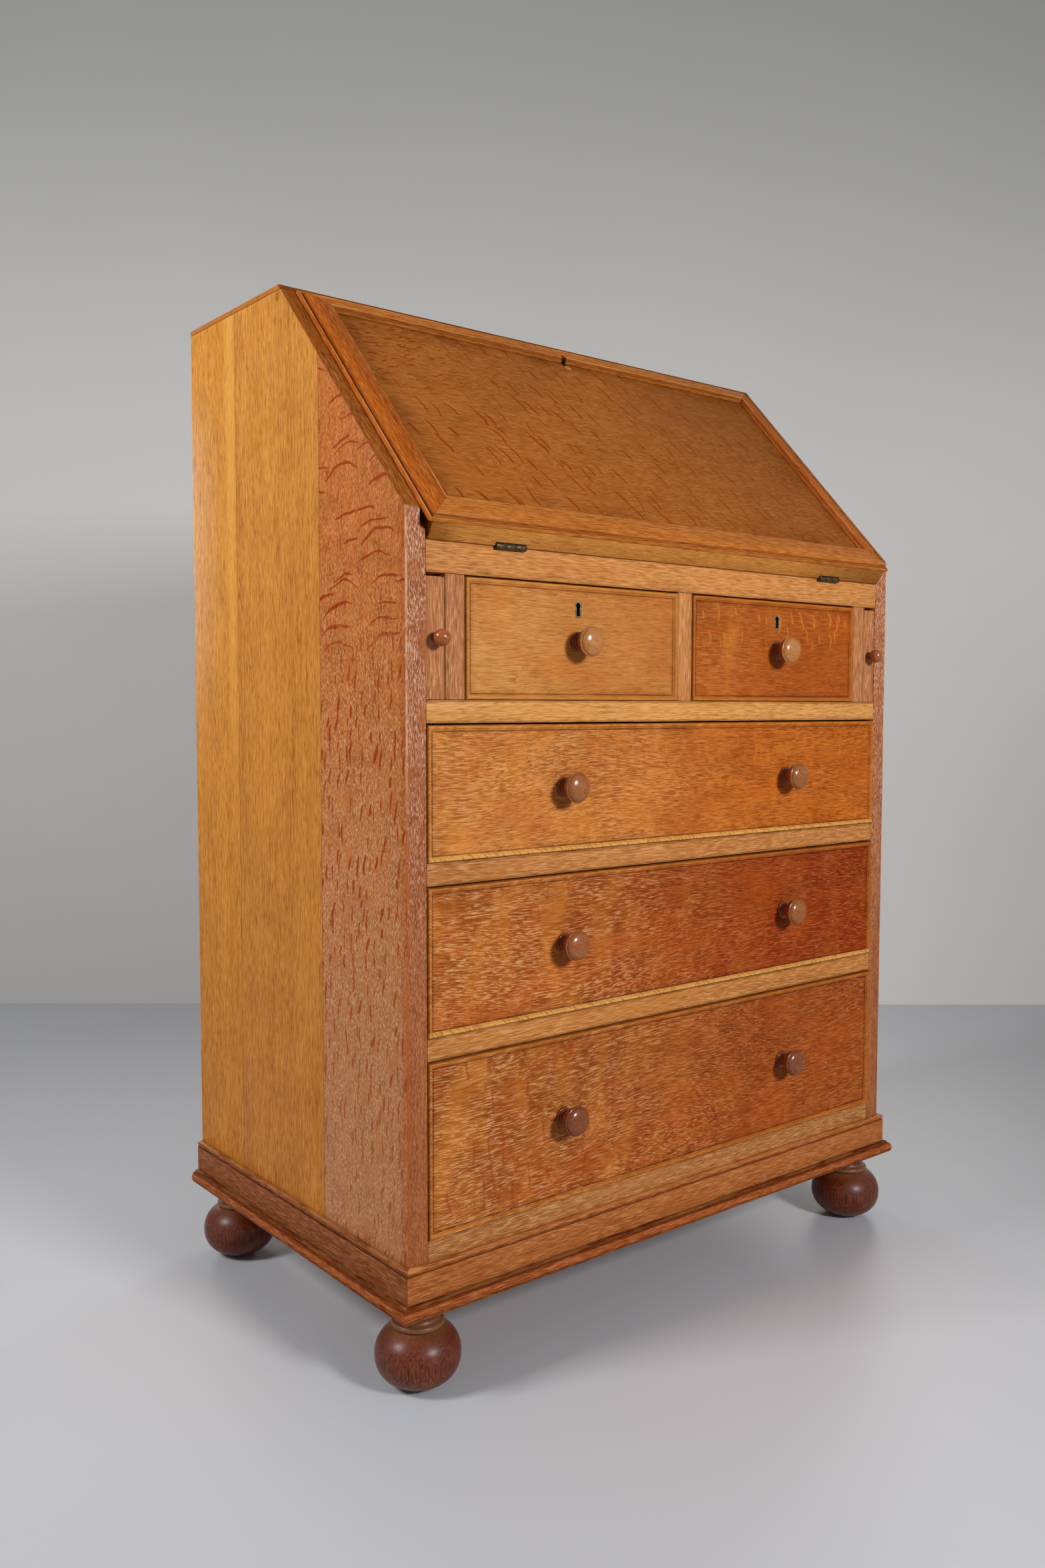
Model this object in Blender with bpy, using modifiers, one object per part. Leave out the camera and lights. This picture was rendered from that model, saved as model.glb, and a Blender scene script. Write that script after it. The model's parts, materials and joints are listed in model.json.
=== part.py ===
"""Oak writing bureau: a slope-front desk with a hinged fall, two lopers and five drawers, on bun feet.

Metres, +Z up, front towards -Y. The origin is on the floor, at the middle of the overall box.
Pieces are set out from the front plane of the case, which the bureau empty carries.
"""
import math

import bmesh
import bpy
from mathutils import Matrix, Vector

# Clearances
GAP = 0.0003                # between pieces that touch
CUT_OVER = 0.004            # how far a cutter runs past the face it opens
SEAT_PLAY = 0.0005          # round the fall in its seat
DRAWER_SIDE_PLAY = 0.0008   # beside a drawer front
DRAWER_TOP_PLAY = 0.0015    # above a drawer front
LOPER_PLAY = 0.0004         # beside a loper
KNUCKLE_PLAY = 0.0006       # round a hinge barrel
PIN_PLAY = 0.0001           # round a hinge pin

# Case
CASE_W = 0.690
CASE_D = 0.430
BUREAU_H = 1.0415           # from the floor to the top
SIDE_T = 0.021
TOP_T = 0.018
TOP_LAP_T = 0.005           # the part of the top that laps over the sides
BACK_T = 0.008
BACK_REBATE = 0.010         # how far the back sits into each side
HOUSING = 0.006             # how far the dust boards and the bed sit into each side

# Heights of the pieces stacked from the floor
FOOT_H = 0.0792
BASE_T = 0.0127
BOTTOM_RAIL_H = 0.0515
RAIL_H = 0.0208
FALL_RAIL_H = 0.0290
SHOULDER_H = 0.0260         # from the bed to the start of the slope

# Drawer openings, as shares of the height that feet, base and rails leave; the desk has the rest
LOWER_SHARE = 0.2033
MIDDLE_SHARE = 0.1701
UPPER_SHARE = 0.1541
SMALL_SHARE = 0.1388

# Front frame
RAIL_D = 0.045
PARTITION_T = 0.021
LOPER_OPENING_W = 0.0211
BED_T = 0.018
DUSTBOARD_T = 0.010

# Plinth and base
PLINTH_H = 0.0326
PLINTH_T = 0.0056
PLINTH_BEAD_R = 0.0026
PLINTH_QUIRK = 0.0012
BASE_NOSE = 0.0138          # how far the base board stands out from the case
BASE_NOSE_RISE = 0.0043     # height of the nose above the underside
BASE_UNDERCUT = 0.0013
BASE_FILLET = 0.0092        # how far the flat top edge stands out
BASE_FILLET_H = 0.0018

# Bun feet
FOOT_R = 0.0403
FOOT_BALL_H = 0.0618
FOOT_FULLNESS = 2.2        # 2 is a plain ellipse, more is squarer
FOOT_FLAT_R = 0.010
FOOT_RING_R = 0.0250
FOOT_RING_H = 0.0064
FOOT_RING_QUIRK = 0.0012
FOOT_NECK_R = 0.0190
FOOT_TOP_R = 0.0225
FOOT_TOP_H = 0.0050
FOOT_SPIGOT_R = 0.009
FOOT_SPIGOT_L = 0.009
FOOT_INSET_X = 0.0267
FOOT_INSET_FRONT = 0.0254

# Fall
SLOPE = math.radians(47.3)
HINGE_OUT = 0.0020          # hinge axis in front of the case
HINGE_DROP = 0.0010         # hinge axis below the bed
FALL_T = 0.0212             # through the raised field
FALL_EDGE_T = 0.0165        # under the mouldings
FALL_LIP_W = 0.005          # how far the mouldings reach over each side
FALL_REVEAL = 0.0086        # from the fall to the top edge of the slope
FALL_TOP_LAP = 0.0170       # how far the top moulding reaches past the board
FALL_FOOT_BEVEL = math.radians(12.7)
SIDE_REBATE_D = 0.0125      # rebate along the slope of each side, under the mouldings
MOULD_W = 0.0295
MOULD_STEP_W = 0.0023       # step at the inner edge
MOULD_STEP_H = 0.0067
MOULD_BEAD_R = 0.0019
MOULD_BEAD_H = 0.0018       # middle of the bead, above the seat
MOULD_QUIRK_W = 0.0005
MOULD_QUIRK_ANGLE = 20      # degrees of the bead hidden in the quirk
MOULD_FILLET_W = 0.0028
MOULD_FILLET_H = 0.0043
MOULD_CROWN_H = 0.0097
MOULD_TRIM = 0.0024         # planed off the bottom moulding

# Hinges
HINGE_INSET = 0.0925        # middle of a hinge, from the case side
HINGE_L = 0.035
HINGE_R = 0.0032
KNUCKLE_L = 0.0116          # middle barrel, on the fall
PIN_R = 0.0011
LEAF_W = 0.018
LEAF_T = 0.0015

# Lock of the fall
LOCK_W = 0.060
LOCK_H = 0.030
LOCK_T = 0.010
LOCK_EDGE = 0.0015          # from the lock to the top edge of the fall's body
LOCK_KEY_DROP = 0.0280      # keyhole, from the top edge of the fall
KEYHOLE_R = 0.0029
KEYHOLE_SLOT_W = 0.0042
KEYHOLE_H = 0.0128
KEYHOLE_DEPTH = 0.012

# Drawers
FRONT_T = 0.020
FACE_SET = 0.0005           # drawer face behind the case front
BEAD_W = 0.0058
BEAD_PROUD = 0.0025
BEAD_QUIRK_W = 0.0007
BEAD_ROUND = 0.0022
BEAD_SHAPE = 0.5            # a quarter round at each arris
BOX_T = 0.010
BOX_BOTTOM_T = 0.006
BOX_LAP = 0.012             # box sides let into the back of the front
BOX_SIDE_PLAY = 0.0012
BOX_TOP_DROP = 0.010
BOX_BACK_ROOM = 0.030       # behind a closed drawer
SMALL_KEY_RISE = 0.0313     # keyhole above the knob
KNOB_RISE = 0.0008          # knobs above the middle of a drawer front
KNOB_SPREAD = 0.503         # knobs of a long drawer, as a share of its half width

# Mushroom knobs
KNOB_REACH = 0.0270
KNOB_HEAD_R = 0.0149
KNOB_FACE_R = 0.0138
KNOB_FACE_RISE = 0.0062
KNOB_RIM_H = 0.0024
KNOB_BOWL_H = 0.0075        # underside of the head, from the rim to the neck
KNOB_NECK_R = 0.0064
KNOB_NECK_H = 0.0035
KNOB_RING_R = 0.0078
KNOB_RING_H = 0.0016
KNOB_BASE_R = 0.0098
KNOB_BASE_H = 0.0026
KNOB_SPIGOT_R = 0.0045
KNOB_SPIGOT_L = 0.013

# Lopers
LOPER_L = 0.360
LOPER_SET = 0.0010          # loper face behind the case front
LOPER_TOP_GAP = 0.0034      # over the loper's nose
LOPER_NOSE = 0.015          # the lower part at the front
BALL_R = 0.0078
BALL_CENTRE = 0.0106
BALL_NECK_R = 0.0032
BALL_BASE_R = 0.0042
BALL_BASE_H = 0.0016
BALL_SPIGOT_R = 0.0026
BALL_SPIGOT_L = 0.012

# Pigeonhole rack
RACK_CLEAR = 0.039          # between the rack and the top of the closed fall
RACK_T = 0.008
RACK_SHELF_H = 0.115
RACK_BAYS = 4

# Straight steps in each curve
FOOT_STEPS = 24
FOOT_BALL_STEPS = 10
FOOT_RING_STEPS = 4
BASE_STEPS = 4
PLINTH_BEAD_STEPS = 5
MOULD_BEAD_STEPS = 6
MOULD_RISE_STEPS = 7
HINGE_STEPS = 16
KEYHOLE_STEPS = 12
DRAWER_BEAD_STEPS = 3
KNOB_STEPS = 16
KNOB_DOME_STEPS = 5
KNOB_RIM_STEPS = 3
KNOB_BOWL_STEPS = 3
BALL_STEPS = 16
BALL_SIDE_STEPS = 8
SAME_PLACE = 1e-6           # points closer than this are one point

# Places worked out from the sizes above
FREE_H = BUREAU_H - FOOT_H - BASE_T - BOTTOM_RAIL_H - 3 * RAIL_H - FALL_RAIL_H
LOWER_OPENING_H = LOWER_SHARE * FREE_H
MIDDLE_OPENING_H = MIDDLE_SHARE * FREE_H
UPPER_OPENING_H = UPPER_SHARE * FREE_H
SMALL_OPENING_H = SMALL_SHARE * FREE_H
CASE_Z = FOOT_H + BASE_T
PLINTH_TOP = CASE_Z + PLINTH_H
LOWER_Z = CASE_Z + BOTTOM_RAIL_H
LOWER_RAIL_Z = LOWER_Z + LOWER_OPENING_H
MIDDLE_Z = LOWER_RAIL_Z + RAIL_H
MIDDLE_RAIL_Z = MIDDLE_Z + MIDDLE_OPENING_H
UPPER_Z = MIDDLE_RAIL_Z + RAIL_H
UPPER_RAIL_Z = UPPER_Z + UPPER_OPENING_H
SMALL_Z = UPPER_RAIL_Z + RAIL_H
FALL_RAIL_Z = SMALL_Z + SMALL_OPENING_H
BED_Z = FALL_RAIL_Z + FALL_RAIL_H
SHOULDER_Z = BED_Z + SHOULDER_H
TOP_Z = BUREAU_H
TOP_Y = (TOP_Z - SHOULDER_Z) / math.tan(SLOPE)

HALF_W = CASE_W / 2
INNER_X = HALF_W - SIDE_T
HINGE_X = INNER_X - HINGE_INSET
LONG_KNOB_X = KNOB_SPREAD * INNER_X
BACK_Y = CASE_D - BACK_T
BOARD_END_Y = BACK_Y - GAP
PARTITION_OUT_X = INNER_X - LOPER_OPENING_W
PARTITION_IN_X = PARTITION_OUT_X - PARTITION_T
FRONT_Y = (KNOB_REACH - FACE_SET - CASE_D) / 2
HINGE_Z = BED_Z - HINGE_DROP
FALL_HALF_W = INNER_X + FALL_LIP_W
FALL_BODY_HALF_W = INNER_X - SEAT_PLAY
FALL_LIP_N = FALL_EDGE_T + GAP
FALL_FOOT_A = (FALL_LIP_N + MOULD_BEAD_H + MOULD_BEAD_R) * math.tan(FALL_FOOT_BEVEL) - MOULD_TRIM
SLOPE_TOP_A = (TOP_Y + HINGE_OUT) * math.cos(SLOPE) + (TOP_Z - HINGE_Z) * math.sin(SLOPE)
FALL_TOP = SLOPE_TOP_A - FALL_REVEAL
FALL_BODY_TOP = FALL_TOP - FALL_TOP_LAP
LOCK_KEY_A = FALL_TOP - LOCK_KEY_DROP
RACK_SET = (TOP_Z - TOP_T - HINGE_Z) / math.tan(SLOPE) - HINGE_OUT + RACK_CLEAR

# Colours
OAK_SIDE = (0.46, 0.19, 0.055, 1.0)
OAK_FRONT = (0.50, 0.20, 0.052, 1.0)
OAK_FALL = (0.38, 0.145, 0.036, 1.0)
OAK_FOOT = (0.20, 0.055, 0.020, 1.0)
OAK_INSIDE = (0.42, 0.24, 0.11, 1.0)
DARK_BRASS = (0.07, 0.06, 0.05, 1.0)

AXIS_X = Vector((1.0, 0.0, 0.0))
AXIS_Y = Vector((0.0, 1.0, 0.0))
AXIS_Z = Vector((0.0, 0.0, 1.0))

for old in list(bpy.data.objects):
    bpy.data.objects.remove(old, do_unlink=True)


def new_collection(name):
    collection = bpy.data.collections.new(name)
    bpy.context.scene.collection.children.link(collection)
    return collection


PARTS = new_collection("writing_bureau")
CUTTERS = new_collection("cutters")


def add_empty(name, location, parent=None, turn_x=0.0):
    empty = bpy.data.objects.new(name, None)
    empty.location = location
    empty.rotation_euler = (turn_x, 0.0, 0.0)
    empty.parent = parent
    PARTS.objects.link(empty)
    return empty


def add_part(name, mesh, parent, colour, location=(0, 0, 0), turn_x=0.0, roughness=0.42, metallic=0.0):
    part = bpy.data.objects.new(name, mesh)
    part.parent = parent
    part.location = location
    part.rotation_euler = (turn_x, 0.0, 0.0)
    finish = bpy.data.materials.new(name)
    finish.use_nodes = True
    shader = finish.node_tree.nodes["Principled BSDF"]
    shader.inputs["Base Color"].default_value = colour
    shader.inputs["Roughness"].default_value = roughness
    shader.inputs["Metallic"].default_value = metallic
    mesh.materials.append(finish)
    PARTS.objects.link(part)
    return part


def add_cutter(mesh, parent, location=(0, 0, 0), turn_x=0.0):
    cutter = bpy.data.objects.new("cutter", mesh)
    cutter.parent = parent
    cutter.location = location
    cutter.rotation_euler = (turn_x, 0.0, 0.0)
    cutter.hide_render = True
    cutter.display_type = "WIRE"
    CUTTERS.objects.link(cutter)
    return cutter


def combine(part, tool, operation="DIFFERENCE"):
    boolean = part.modifiers.new("boolean", "BOOLEAN")
    boolean.operation = operation
    boolean.object = tool
    boolean.solver = "EXACT"


def mesh_from(bm, name):
    bmesh.ops.recalc_face_normals(bm, faces=bm.faces)
    for face in bm.faces:
        face.smooth = False
    mesh = bpy.data.meshes.new(name)
    bm.to_mesh(mesh)
    bm.free()
    return mesh


def box_bmesh(low, high):
    low, high = Vector(low), Vector(high)
    bm = bmesh.new()
    middle = Matrix.Translation((low + high) / 2)
    bmesh.ops.create_cube(bm, size=1.0, matrix=middle @ Matrix.Diagonal((*(high - low), 1.0)))
    return bm


def box_mesh(low, high):
    return mesh_from(box_bmesh(low, high), "box")


def rod_mesh(radius, centre, axis, length, steps):
    bm = bmesh.new()
    place = Matrix.Translation(centre) @ axis.to_track_quat("Z", "Y").to_matrix().to_4x4()
    bmesh.ops.create_cone(
        bm, cap_ends=True, segments=steps, radius1=radius, radius2=radius, depth=length, matrix=place
    )
    return mesh_from(bm, "rod")


def outline_mesh(points, thickness, origin, x_axis, y_axis):
    """A flat outline, given thickness along x_axis cross y_axis, half on each side of the origin."""
    curve = bpy.data.curves.new("outline", "CURVE")
    curve.dimensions = "2D"
    curve.fill_mode = "BOTH"
    curve.extrude = thickness / 2
    spline = curve.splines.new("POLY")
    spline.points.add(len(points) - 1)
    for target, (x, y) in zip(spline.points, points):
        target.co = (x, y, 0.0, 1.0)
    spline.use_cyclic_u = True
    holder = bpy.data.objects.new("outline", curve)
    bpy.context.scene.collection.objects.link(holder)
    graph = bpy.context.evaluated_depsgraph_get()
    filled = bpy.data.meshes.new_from_object(holder.evaluated_get(graph))
    bpy.data.objects.remove(holder, do_unlink=True)
    bm = bmesh.new()
    bm.from_mesh(filled)
    bmesh.ops.remove_doubles(bm, verts=bm.verts, dist=SAME_PLACE)
    place = Matrix((x_axis, y_axis, x_axis.cross(y_axis))).transposed().to_4x4()
    bm.transform(Matrix.Translation(origin) @ place)
    return mesh_from(bm, "outline")


def strip_mesh(profile, length, origin, out, up, mitre_low=0.0, mitre_high=0.0):
    """A moulding: the profile (out, up) run along out cross up, each end slanted by its mitre."""
    along = out.cross(up)
    mesh = outline_mesh(profile, length, Vector(origin) + along * length / 2, out, up)
    for vertex in mesh.vertices:
        offset = vertex.co - Vector(origin)
        mitre = mitre_high if offset.dot(along) > length / 2 else mitre_low
        vertex.co += along * mitre * offset.dot(out)
    return mesh


def arc(centre_x, centre_y, radius_x, radius_y, start, end, count):
    """Points on an ellipse from start to end, both in degrees."""
    points = []
    for index in range(count + 1):
        angle = math.radians(start + (end - start) * index / count)
        points.append((centre_x + radius_x * math.cos(angle), centre_y + radius_y * math.sin(angle)))
    return points


def turned_part(name, profile, steps, parent, colour, location, turn_x=0.0, roughness=0.3):
    """A profile of (radius, height), from its top down its outer side, turned about its own Z."""
    bm = bmesh.new()
    verts = [bm.verts.new((radius, 0.0, height)) for radius, height in profile]
    for first, second in zip(verts, verts[1:]):
        bm.edges.new((first, second))
    mesh = bpy.data.meshes.new(name)
    bm.to_mesh(mesh)
    bm.free()
    part = add_part(name, mesh, parent, colour, location, turn_x, roughness)
    screw = part.modifiers.new("turning", "SCREW")
    screw.axis = "Z"
    screw.steps = steps
    screw.render_steps = steps
    screw.use_merge_vertices = True
    screw.merge_threshold = 0.0001
    return part


BUREAU = add_empty("bureau", (0.0, FRONT_Y, 0.0))
FALL = add_empty("fall", (0.0, -HINGE_OUT, HINGE_Z), BUREAU, SLOPE)


def slope_cutters():
    """In the fall's frame: above the slope, over the top's seat, and along the rebates of the sides."""
    rise = -HINGE_OUT * math.sin(SLOPE) + (SHOULDER_Z - HINGE_Z) * math.cos(SLOPE)
    seat_half, seat_top = FALL_HALF_W + SEAT_PLAY, FALL_TOP + SEAT_PLAY
    cutters = []
    for half, top, floor in (
        (CASE_W, FALL_TOP + CASE_D, rise),
        (seat_half, seat_top, FALL_LIP_N - SEAT_PLAY),
        (seat_half, seat_top, rise - SIDE_REBATE_D),
    ):
        mesh = box_mesh((-half, -CASE_D, floor), (half, top, floor + CASE_D))
        cutters.append(add_cutter(mesh, FALL))
    return cutters


ABOVE_SLOPE, TOP_SEAT, SIDE_REBATE = slope_cutters()
HOUSED_BOARDS = (
    (LOWER_Z, DUSTBOARD_T),
    (MIDDLE_Z, DUSTBOARD_T),
    (UPPER_Z, DUSTBOARD_T),
    (SMALL_Z, DUSTBOARD_T),
    (BED_Z, BED_T),
)


def build_side(name, hand):
    """One side: sloped front, rebates for the fall and the back, and housings for the boards."""
    top = TOP_Z - TOP_LAP_T - GAP
    slope_y = (top - SHOULDER_Z) / math.tan(SLOPE)
    bottom = CASE_Z + GAP
    outline = [(0.0, bottom), (CASE_D, bottom), (CASE_D, top), (slope_y, top), (0.0, SHOULDER_Z)]
    middle = Vector((hand * (INNER_X + SIDE_T / 2), 0.0, 0.0))
    side = add_part(name, outline_mesh(outline, SIDE_T, middle, AXIS_Y, AXIS_Z), BUREAU, OAK_SIDE)
    combine(side, SIDE_REBATE)
    inner, deep = hand * (INNER_X - CUT_OVER), hand * (INNER_X + BACK_REBATE)
    rebate = box_mesh((inner, BACK_Y - GAP, CASE_Z - CUT_OVER), (deep, CASE_D + CUT_OVER, TOP_Z + CUT_OVER))
    combine(side, add_cutter(rebate, BUREAU))
    deep = hand * (INNER_X + HOUSING + GAP)
    for board_top, thickness in HOUSED_BOARDS:
        low = (inner, RAIL_D, board_top - thickness - GAP)
        high = (deep, CASE_D, board_top + GAP)
        combine(side, add_cutter(box_mesh(low, high), BUREAU))


def build_top():
    """The top: rebated at its ends to lap over the sides, and cut to the slope at its front."""
    front = TOP_Y - TOP_T / math.tan(SLOPE) - CUT_OVER
    mesh = box_mesh((-HALF_W, front, TOP_Z - TOP_T), (HALF_W, CASE_D, TOP_Z))
    top = add_part("top_board", mesh, BUREAU, OAK_SIDE)
    for hand in (-1, 1):
        near, far = hand * (INNER_X - GAP), hand * (HALF_W + CUT_OVER)
        low = (near, front - CUT_OVER, TOP_Z - TOP_T - CUT_OVER)
        rebate = box_mesh(low, (far, CASE_D + CUT_OVER, TOP_Z - TOP_LAP_T))
        combine(top, add_cutter(rebate, BUREAU))
    combine(top, ABOVE_SLOPE)
    combine(top, TOP_SEAT)


def build_back():
    half = INNER_X + BACK_REBATE - GAP
    mesh = box_mesh((-half, BACK_Y, CASE_Z + GAP), (half, CASE_D, TOP_Z - TOP_T - GAP))
    add_part("back_panel", mesh, BUREAU, OAK_INSIDE, roughness=0.6)


def build_base():
    """The base board: its front and side edges have a nose, a round above it and a small fillet."""
    nose_z = FOOT_H + BASE_NOSE_RISE
    round_top = CASE_Z - BASE_FILLET_H
    ovolo = arc(BASE_FILLET, nose_z, BASE_NOSE - BASE_FILLET, round_top - nose_z, 0, 90, BASE_STEPS)
    profile = [(BASE_NOSE - BASE_UNDERCUT, FOOT_H), *ovolo, (BASE_FILLET, CASE_Z)]
    bm = box_bmesh((-1.0, 0.0, 0.0), (1.0, 1.0, 1.0))
    floor = min(bm.faces, key=lambda face: face.calc_center_median().z)
    ceiling = max(bm.faces, key=lambda face: face.calc_center_median().z)
    set_ring(floor, *profile[0])
    set_ring(ceiling, *profile[1])
    for offset, height in profile[2:]:
        ceiling = bmesh.ops.extrude_discrete_faces(bm, faces=[ceiling])["faces"][0]
        set_ring(ceiling, offset, height)
    base = add_part("base_board", mesh_from(bm, "base_board"), BUREAU, OAK_SIDE)
    for x, y in foot_places().values():
        depth = FOOT_SPIGOT_L + GAP + CUT_OVER
        centre = (x, y, FOOT_H + FOOT_SPIGOT_L + GAP - depth / 2)
        hole = rod_mesh(FOOT_SPIGOT_R + GAP, centre, AXIS_Z, depth, FOOT_STEPS)
        combine(base, add_cutter(hole, BUREAU))


def set_ring(face, offset, height):
    """Moves a four-cornered face to stand out from the case by offset, flush at the back."""
    middle_y = face.calc_center_median().y
    for vert in face.verts:
        y = CASE_D if vert.co.y > middle_y else -offset
        vert.co = (math.copysign(HALF_W + offset, vert.co.x), y, height)


def foot_places():
    x = HALF_W - FOOT_INSET_X
    front, back = FOOT_INSET_FRONT, CASE_D - FOOT_R
    return {
        "foot_front_left": (-x, front),
        "foot_front_right": (x, front),
        "foot_back_left": (-x, back),
        "foot_back_right": (x, back),
    }


def build_feet():
    """Bun feet: a full flattened ball, a ring above it, a hollow neck and a spigot into the base board."""
    half = FOOT_BALL_H / 2
    ball_top_r = FOOT_RING_R - FOOT_RING_QUIRK
    start = math.acos((ball_top_r / FOOT_R) ** (FOOT_FULLNESS / 2))
    end = -math.acos((FOOT_FLAT_R / FOOT_R) ** (FOOT_FULLNESS / 2))
    ball = []
    for index in range(FOOT_BALL_STEPS + 1):
        turn = start + (end - start) * index / FOOT_BALL_STEPS
        radius = FOOT_R * math.cos(turn) ** (2 / FOOT_FULLNESS)
        rise = half * math.sin(abs(turn)) ** (2 / FOOT_FULLNESS)
        ball.append((radius, math.copysign(rise, turn)))
    floor = ball[-1][1]
    ball = [(radius, height - floor) for radius, height in ball]
    ring_r = FOOT_RING_H / 2
    ring = arc(FOOT_RING_R - ring_r, ball[0][1] + ring_r, ring_r, ring_r, 70, -70, FOOT_RING_STEPS)
    seat = FOOT_H - GAP
    neck_top = seat - FOOT_TOP_H
    profile = [
        (0.0, seat + FOOT_SPIGOT_L),
        (FOOT_SPIGOT_R, seat + FOOT_SPIGOT_L),
        (FOOT_SPIGOT_R, seat),
        (FOOT_TOP_R, seat),
        (FOOT_TOP_R, neck_top),
        (FOOT_NECK_R, (neck_top + ring[0][1]) / 2),
        *ring,
        *ball,
        (0.0, 0.0),
    ]
    for name, (x, y) in foot_places().items():
        turned_part(name, profile, FOOT_STEPS, BUREAU, OAK_FOOT, (x, y, 0.0))


def build_plinth():
    """Three strips round the foot of the case, mitred at the front corners, with a bead on top."""
    low, high = CASE_Z + GAP, PLINTH_TOP
    bead_y = high - PLINTH_BEAD_R
    profile = [
        (GAP, low),
        (PLINTH_T, low),
        (PLINTH_T, bead_y - PLINTH_BEAD_R - PLINTH_QUIRK),
        (PLINTH_T - PLINTH_QUIRK, bead_y - PLINTH_BEAD_R),
        *arc(PLINTH_T - PLINTH_BEAD_R, bead_y, PLINTH_BEAD_R, PLINTH_BEAD_R, -60, 90, PLINTH_BEAD_STEPS),
        (GAP, high),
    ]
    front = strip_mesh(profile, CASE_W - 2 * GAP, (HALF_W - GAP, 0.0, 0.0), -AXIS_Y, AXIS_Z, -1.0, 1.0)
    left = strip_mesh(profile, CASE_D, (-HALF_W, 0.0, 0.0), -AXIS_X, AXIS_Z, mitre_low=-1.0)
    right = strip_mesh(profile, CASE_D, (HALF_W, CASE_D, 0.0), AXIS_X, AXIS_Z, mitre_high=1.0)
    for name, mesh in (("plinth_front", front), ("plinth_left", left), ("plinth_right", right)):
        add_part(name, mesh, BUREAU, OAK_FRONT)


def build_rails():
    half = INNER_X - GAP
    rails = (
        ("bottom_rail", CASE_Z + GAP, LOWER_Z),
        ("lower_rail", LOWER_RAIL_Z, MIDDLE_Z),
        ("middle_rail", MIDDLE_RAIL_Z, UPPER_Z),
        ("upper_rail", UPPER_RAIL_Z, SMALL_Z),
    )
    for name, low, high in rails:
        add_part(name, box_mesh((-half, 0.0, low), (half, RAIL_D - GAP, high)), BUREAU, OAK_FRONT)
    fall_rail = add_part(
        "fall_rail", box_mesh((-half, 0.0, FALL_RAIL_Z), (half, RAIL_D - GAP, BED_Z)), BUREAU, OAK_FRONT
    )
    for x in (-HINGE_X, HINGE_X):
        span = HINGE_L / 2 + GAP
        leaf_low = (x - span, -CUT_OVER, BED_Z - LEAF_T - GAP)
        leaf_high = (x + span, LEAF_W + GAP, BED_Z + CUT_OVER)
        combine(fall_rail, add_cutter(box_mesh(leaf_low, leaf_high), BUREAU))
        barrel = rod_mesh(HINGE_R + KNUCKLE_PLAY, (x, -HINGE_OUT, HINGE_Z), AXIS_X, 2 * span, HINGE_STEPS)
        combine(fall_rail, add_cutter(barrel, BUREAU))


def build_boards():
    """Dust boards under each row of drawers and the writing bed, housed in the sides."""
    half = INNER_X + HOUSING
    boards = ("dustboard_bottom", "dustboard_lower", "dustboard_middle", "dustboard_upper", "writing_bed")
    for name, (top, thickness) in zip(boards, HOUSED_BOARDS):
        mesh = box_mesh((-half, RAIL_D + GAP, top - thickness), (half, BOARD_END_Y, top))
        add_part(name, mesh, BUREAU, OAK_INSIDE, roughness=0.55)


def build_partitions():
    """Upright boards whose front edges part the lopers from the small drawers."""
    low = SMALL_Z + GAP
    front_top, back_top = FALL_RAIL_Z - GAP, BED_Z - BED_T - GAP
    step = RAIL_D + GAP
    outline = [
        (0.0, low),
        (BOARD_END_Y, low),
        (BOARD_END_Y, back_top),
        (step, back_top),
        (step, front_top),
        (0.0, front_top),
    ]
    offset = PARTITION_IN_X + PARTITION_T / 2
    for name, x in (("partition_left", -offset), ("partition_center", 0.0), ("partition_right", offset)):
        mesh = outline_mesh(outline, PARTITION_T, Vector((x, 0.0, 0.0)), AXIS_Y, AXIS_Z)
        add_part(name, mesh, BUREAU, OAK_FRONT)


def build_rack():
    """A shelf crossed by upright dividers, standing on the bed against the back."""
    half = INNER_X - GAP
    low, high = BED_Z + GAP, TOP_Z - TOP_T - GAP
    shelf_low = BED_Z + RACK_SHELF_H
    mesh = box_mesh((-half, RACK_SET, shelf_low), (half, BOARD_END_Y, shelf_low + RACK_T))
    rack = add_part("pigeonhole_rack", mesh, BUREAU, OAK_INSIDE, roughness=0.5)
    pitch = 2 * half / RACK_BAYS
    for index in range(1, RACK_BAYS):
        x = -half + pitch * index
        corner = (x - RACK_T / 2, RACK_SET - GAP, low)
        divider = box_mesh(corner, (x + RACK_T / 2, BOARD_END_Y - GAP, high))
        combine(rack, add_cutter(divider, BUREAU), "UNION")


def keyhole_outline():
    """A round eye with a slot below it, centred on the whole figure."""
    eye_y = KEYHOLE_H / 2 - KEYHOLE_R
    reach = math.degrees(math.asin(KEYHOLE_SLOT_W / 2 / KEYHOLE_R))
    slot = [(-KEYHOLE_SLOT_W / 2, -KEYHOLE_H / 2), (KEYHOLE_SLOT_W / 2, -KEYHOLE_H / 2)]
    return slot + arc(0.0, eye_y, KEYHOLE_R, KEYHOLE_R, reach - 90, 270 - reach, KEYHOLE_STEPS)


def fall_hinge_cutters(x):
    """The mortise for a leaf in the inner face, and the room for the barrel."""
    span = HINGE_L / 2 + GAP
    mortise = box_mesh((x - span, -CUT_OVER, -CUT_OVER), (x + span, LEAF_W + GAP, LEAF_T + GAP))
    barrel = rod_mesh(HINGE_R + KNUCKLE_PLAY, (x, 0.0, 0.0), AXIS_X, 2 * span, HINGE_STEPS)
    return add_cutter(mortise, FALL), add_cutter(barrel, FALL)


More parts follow.
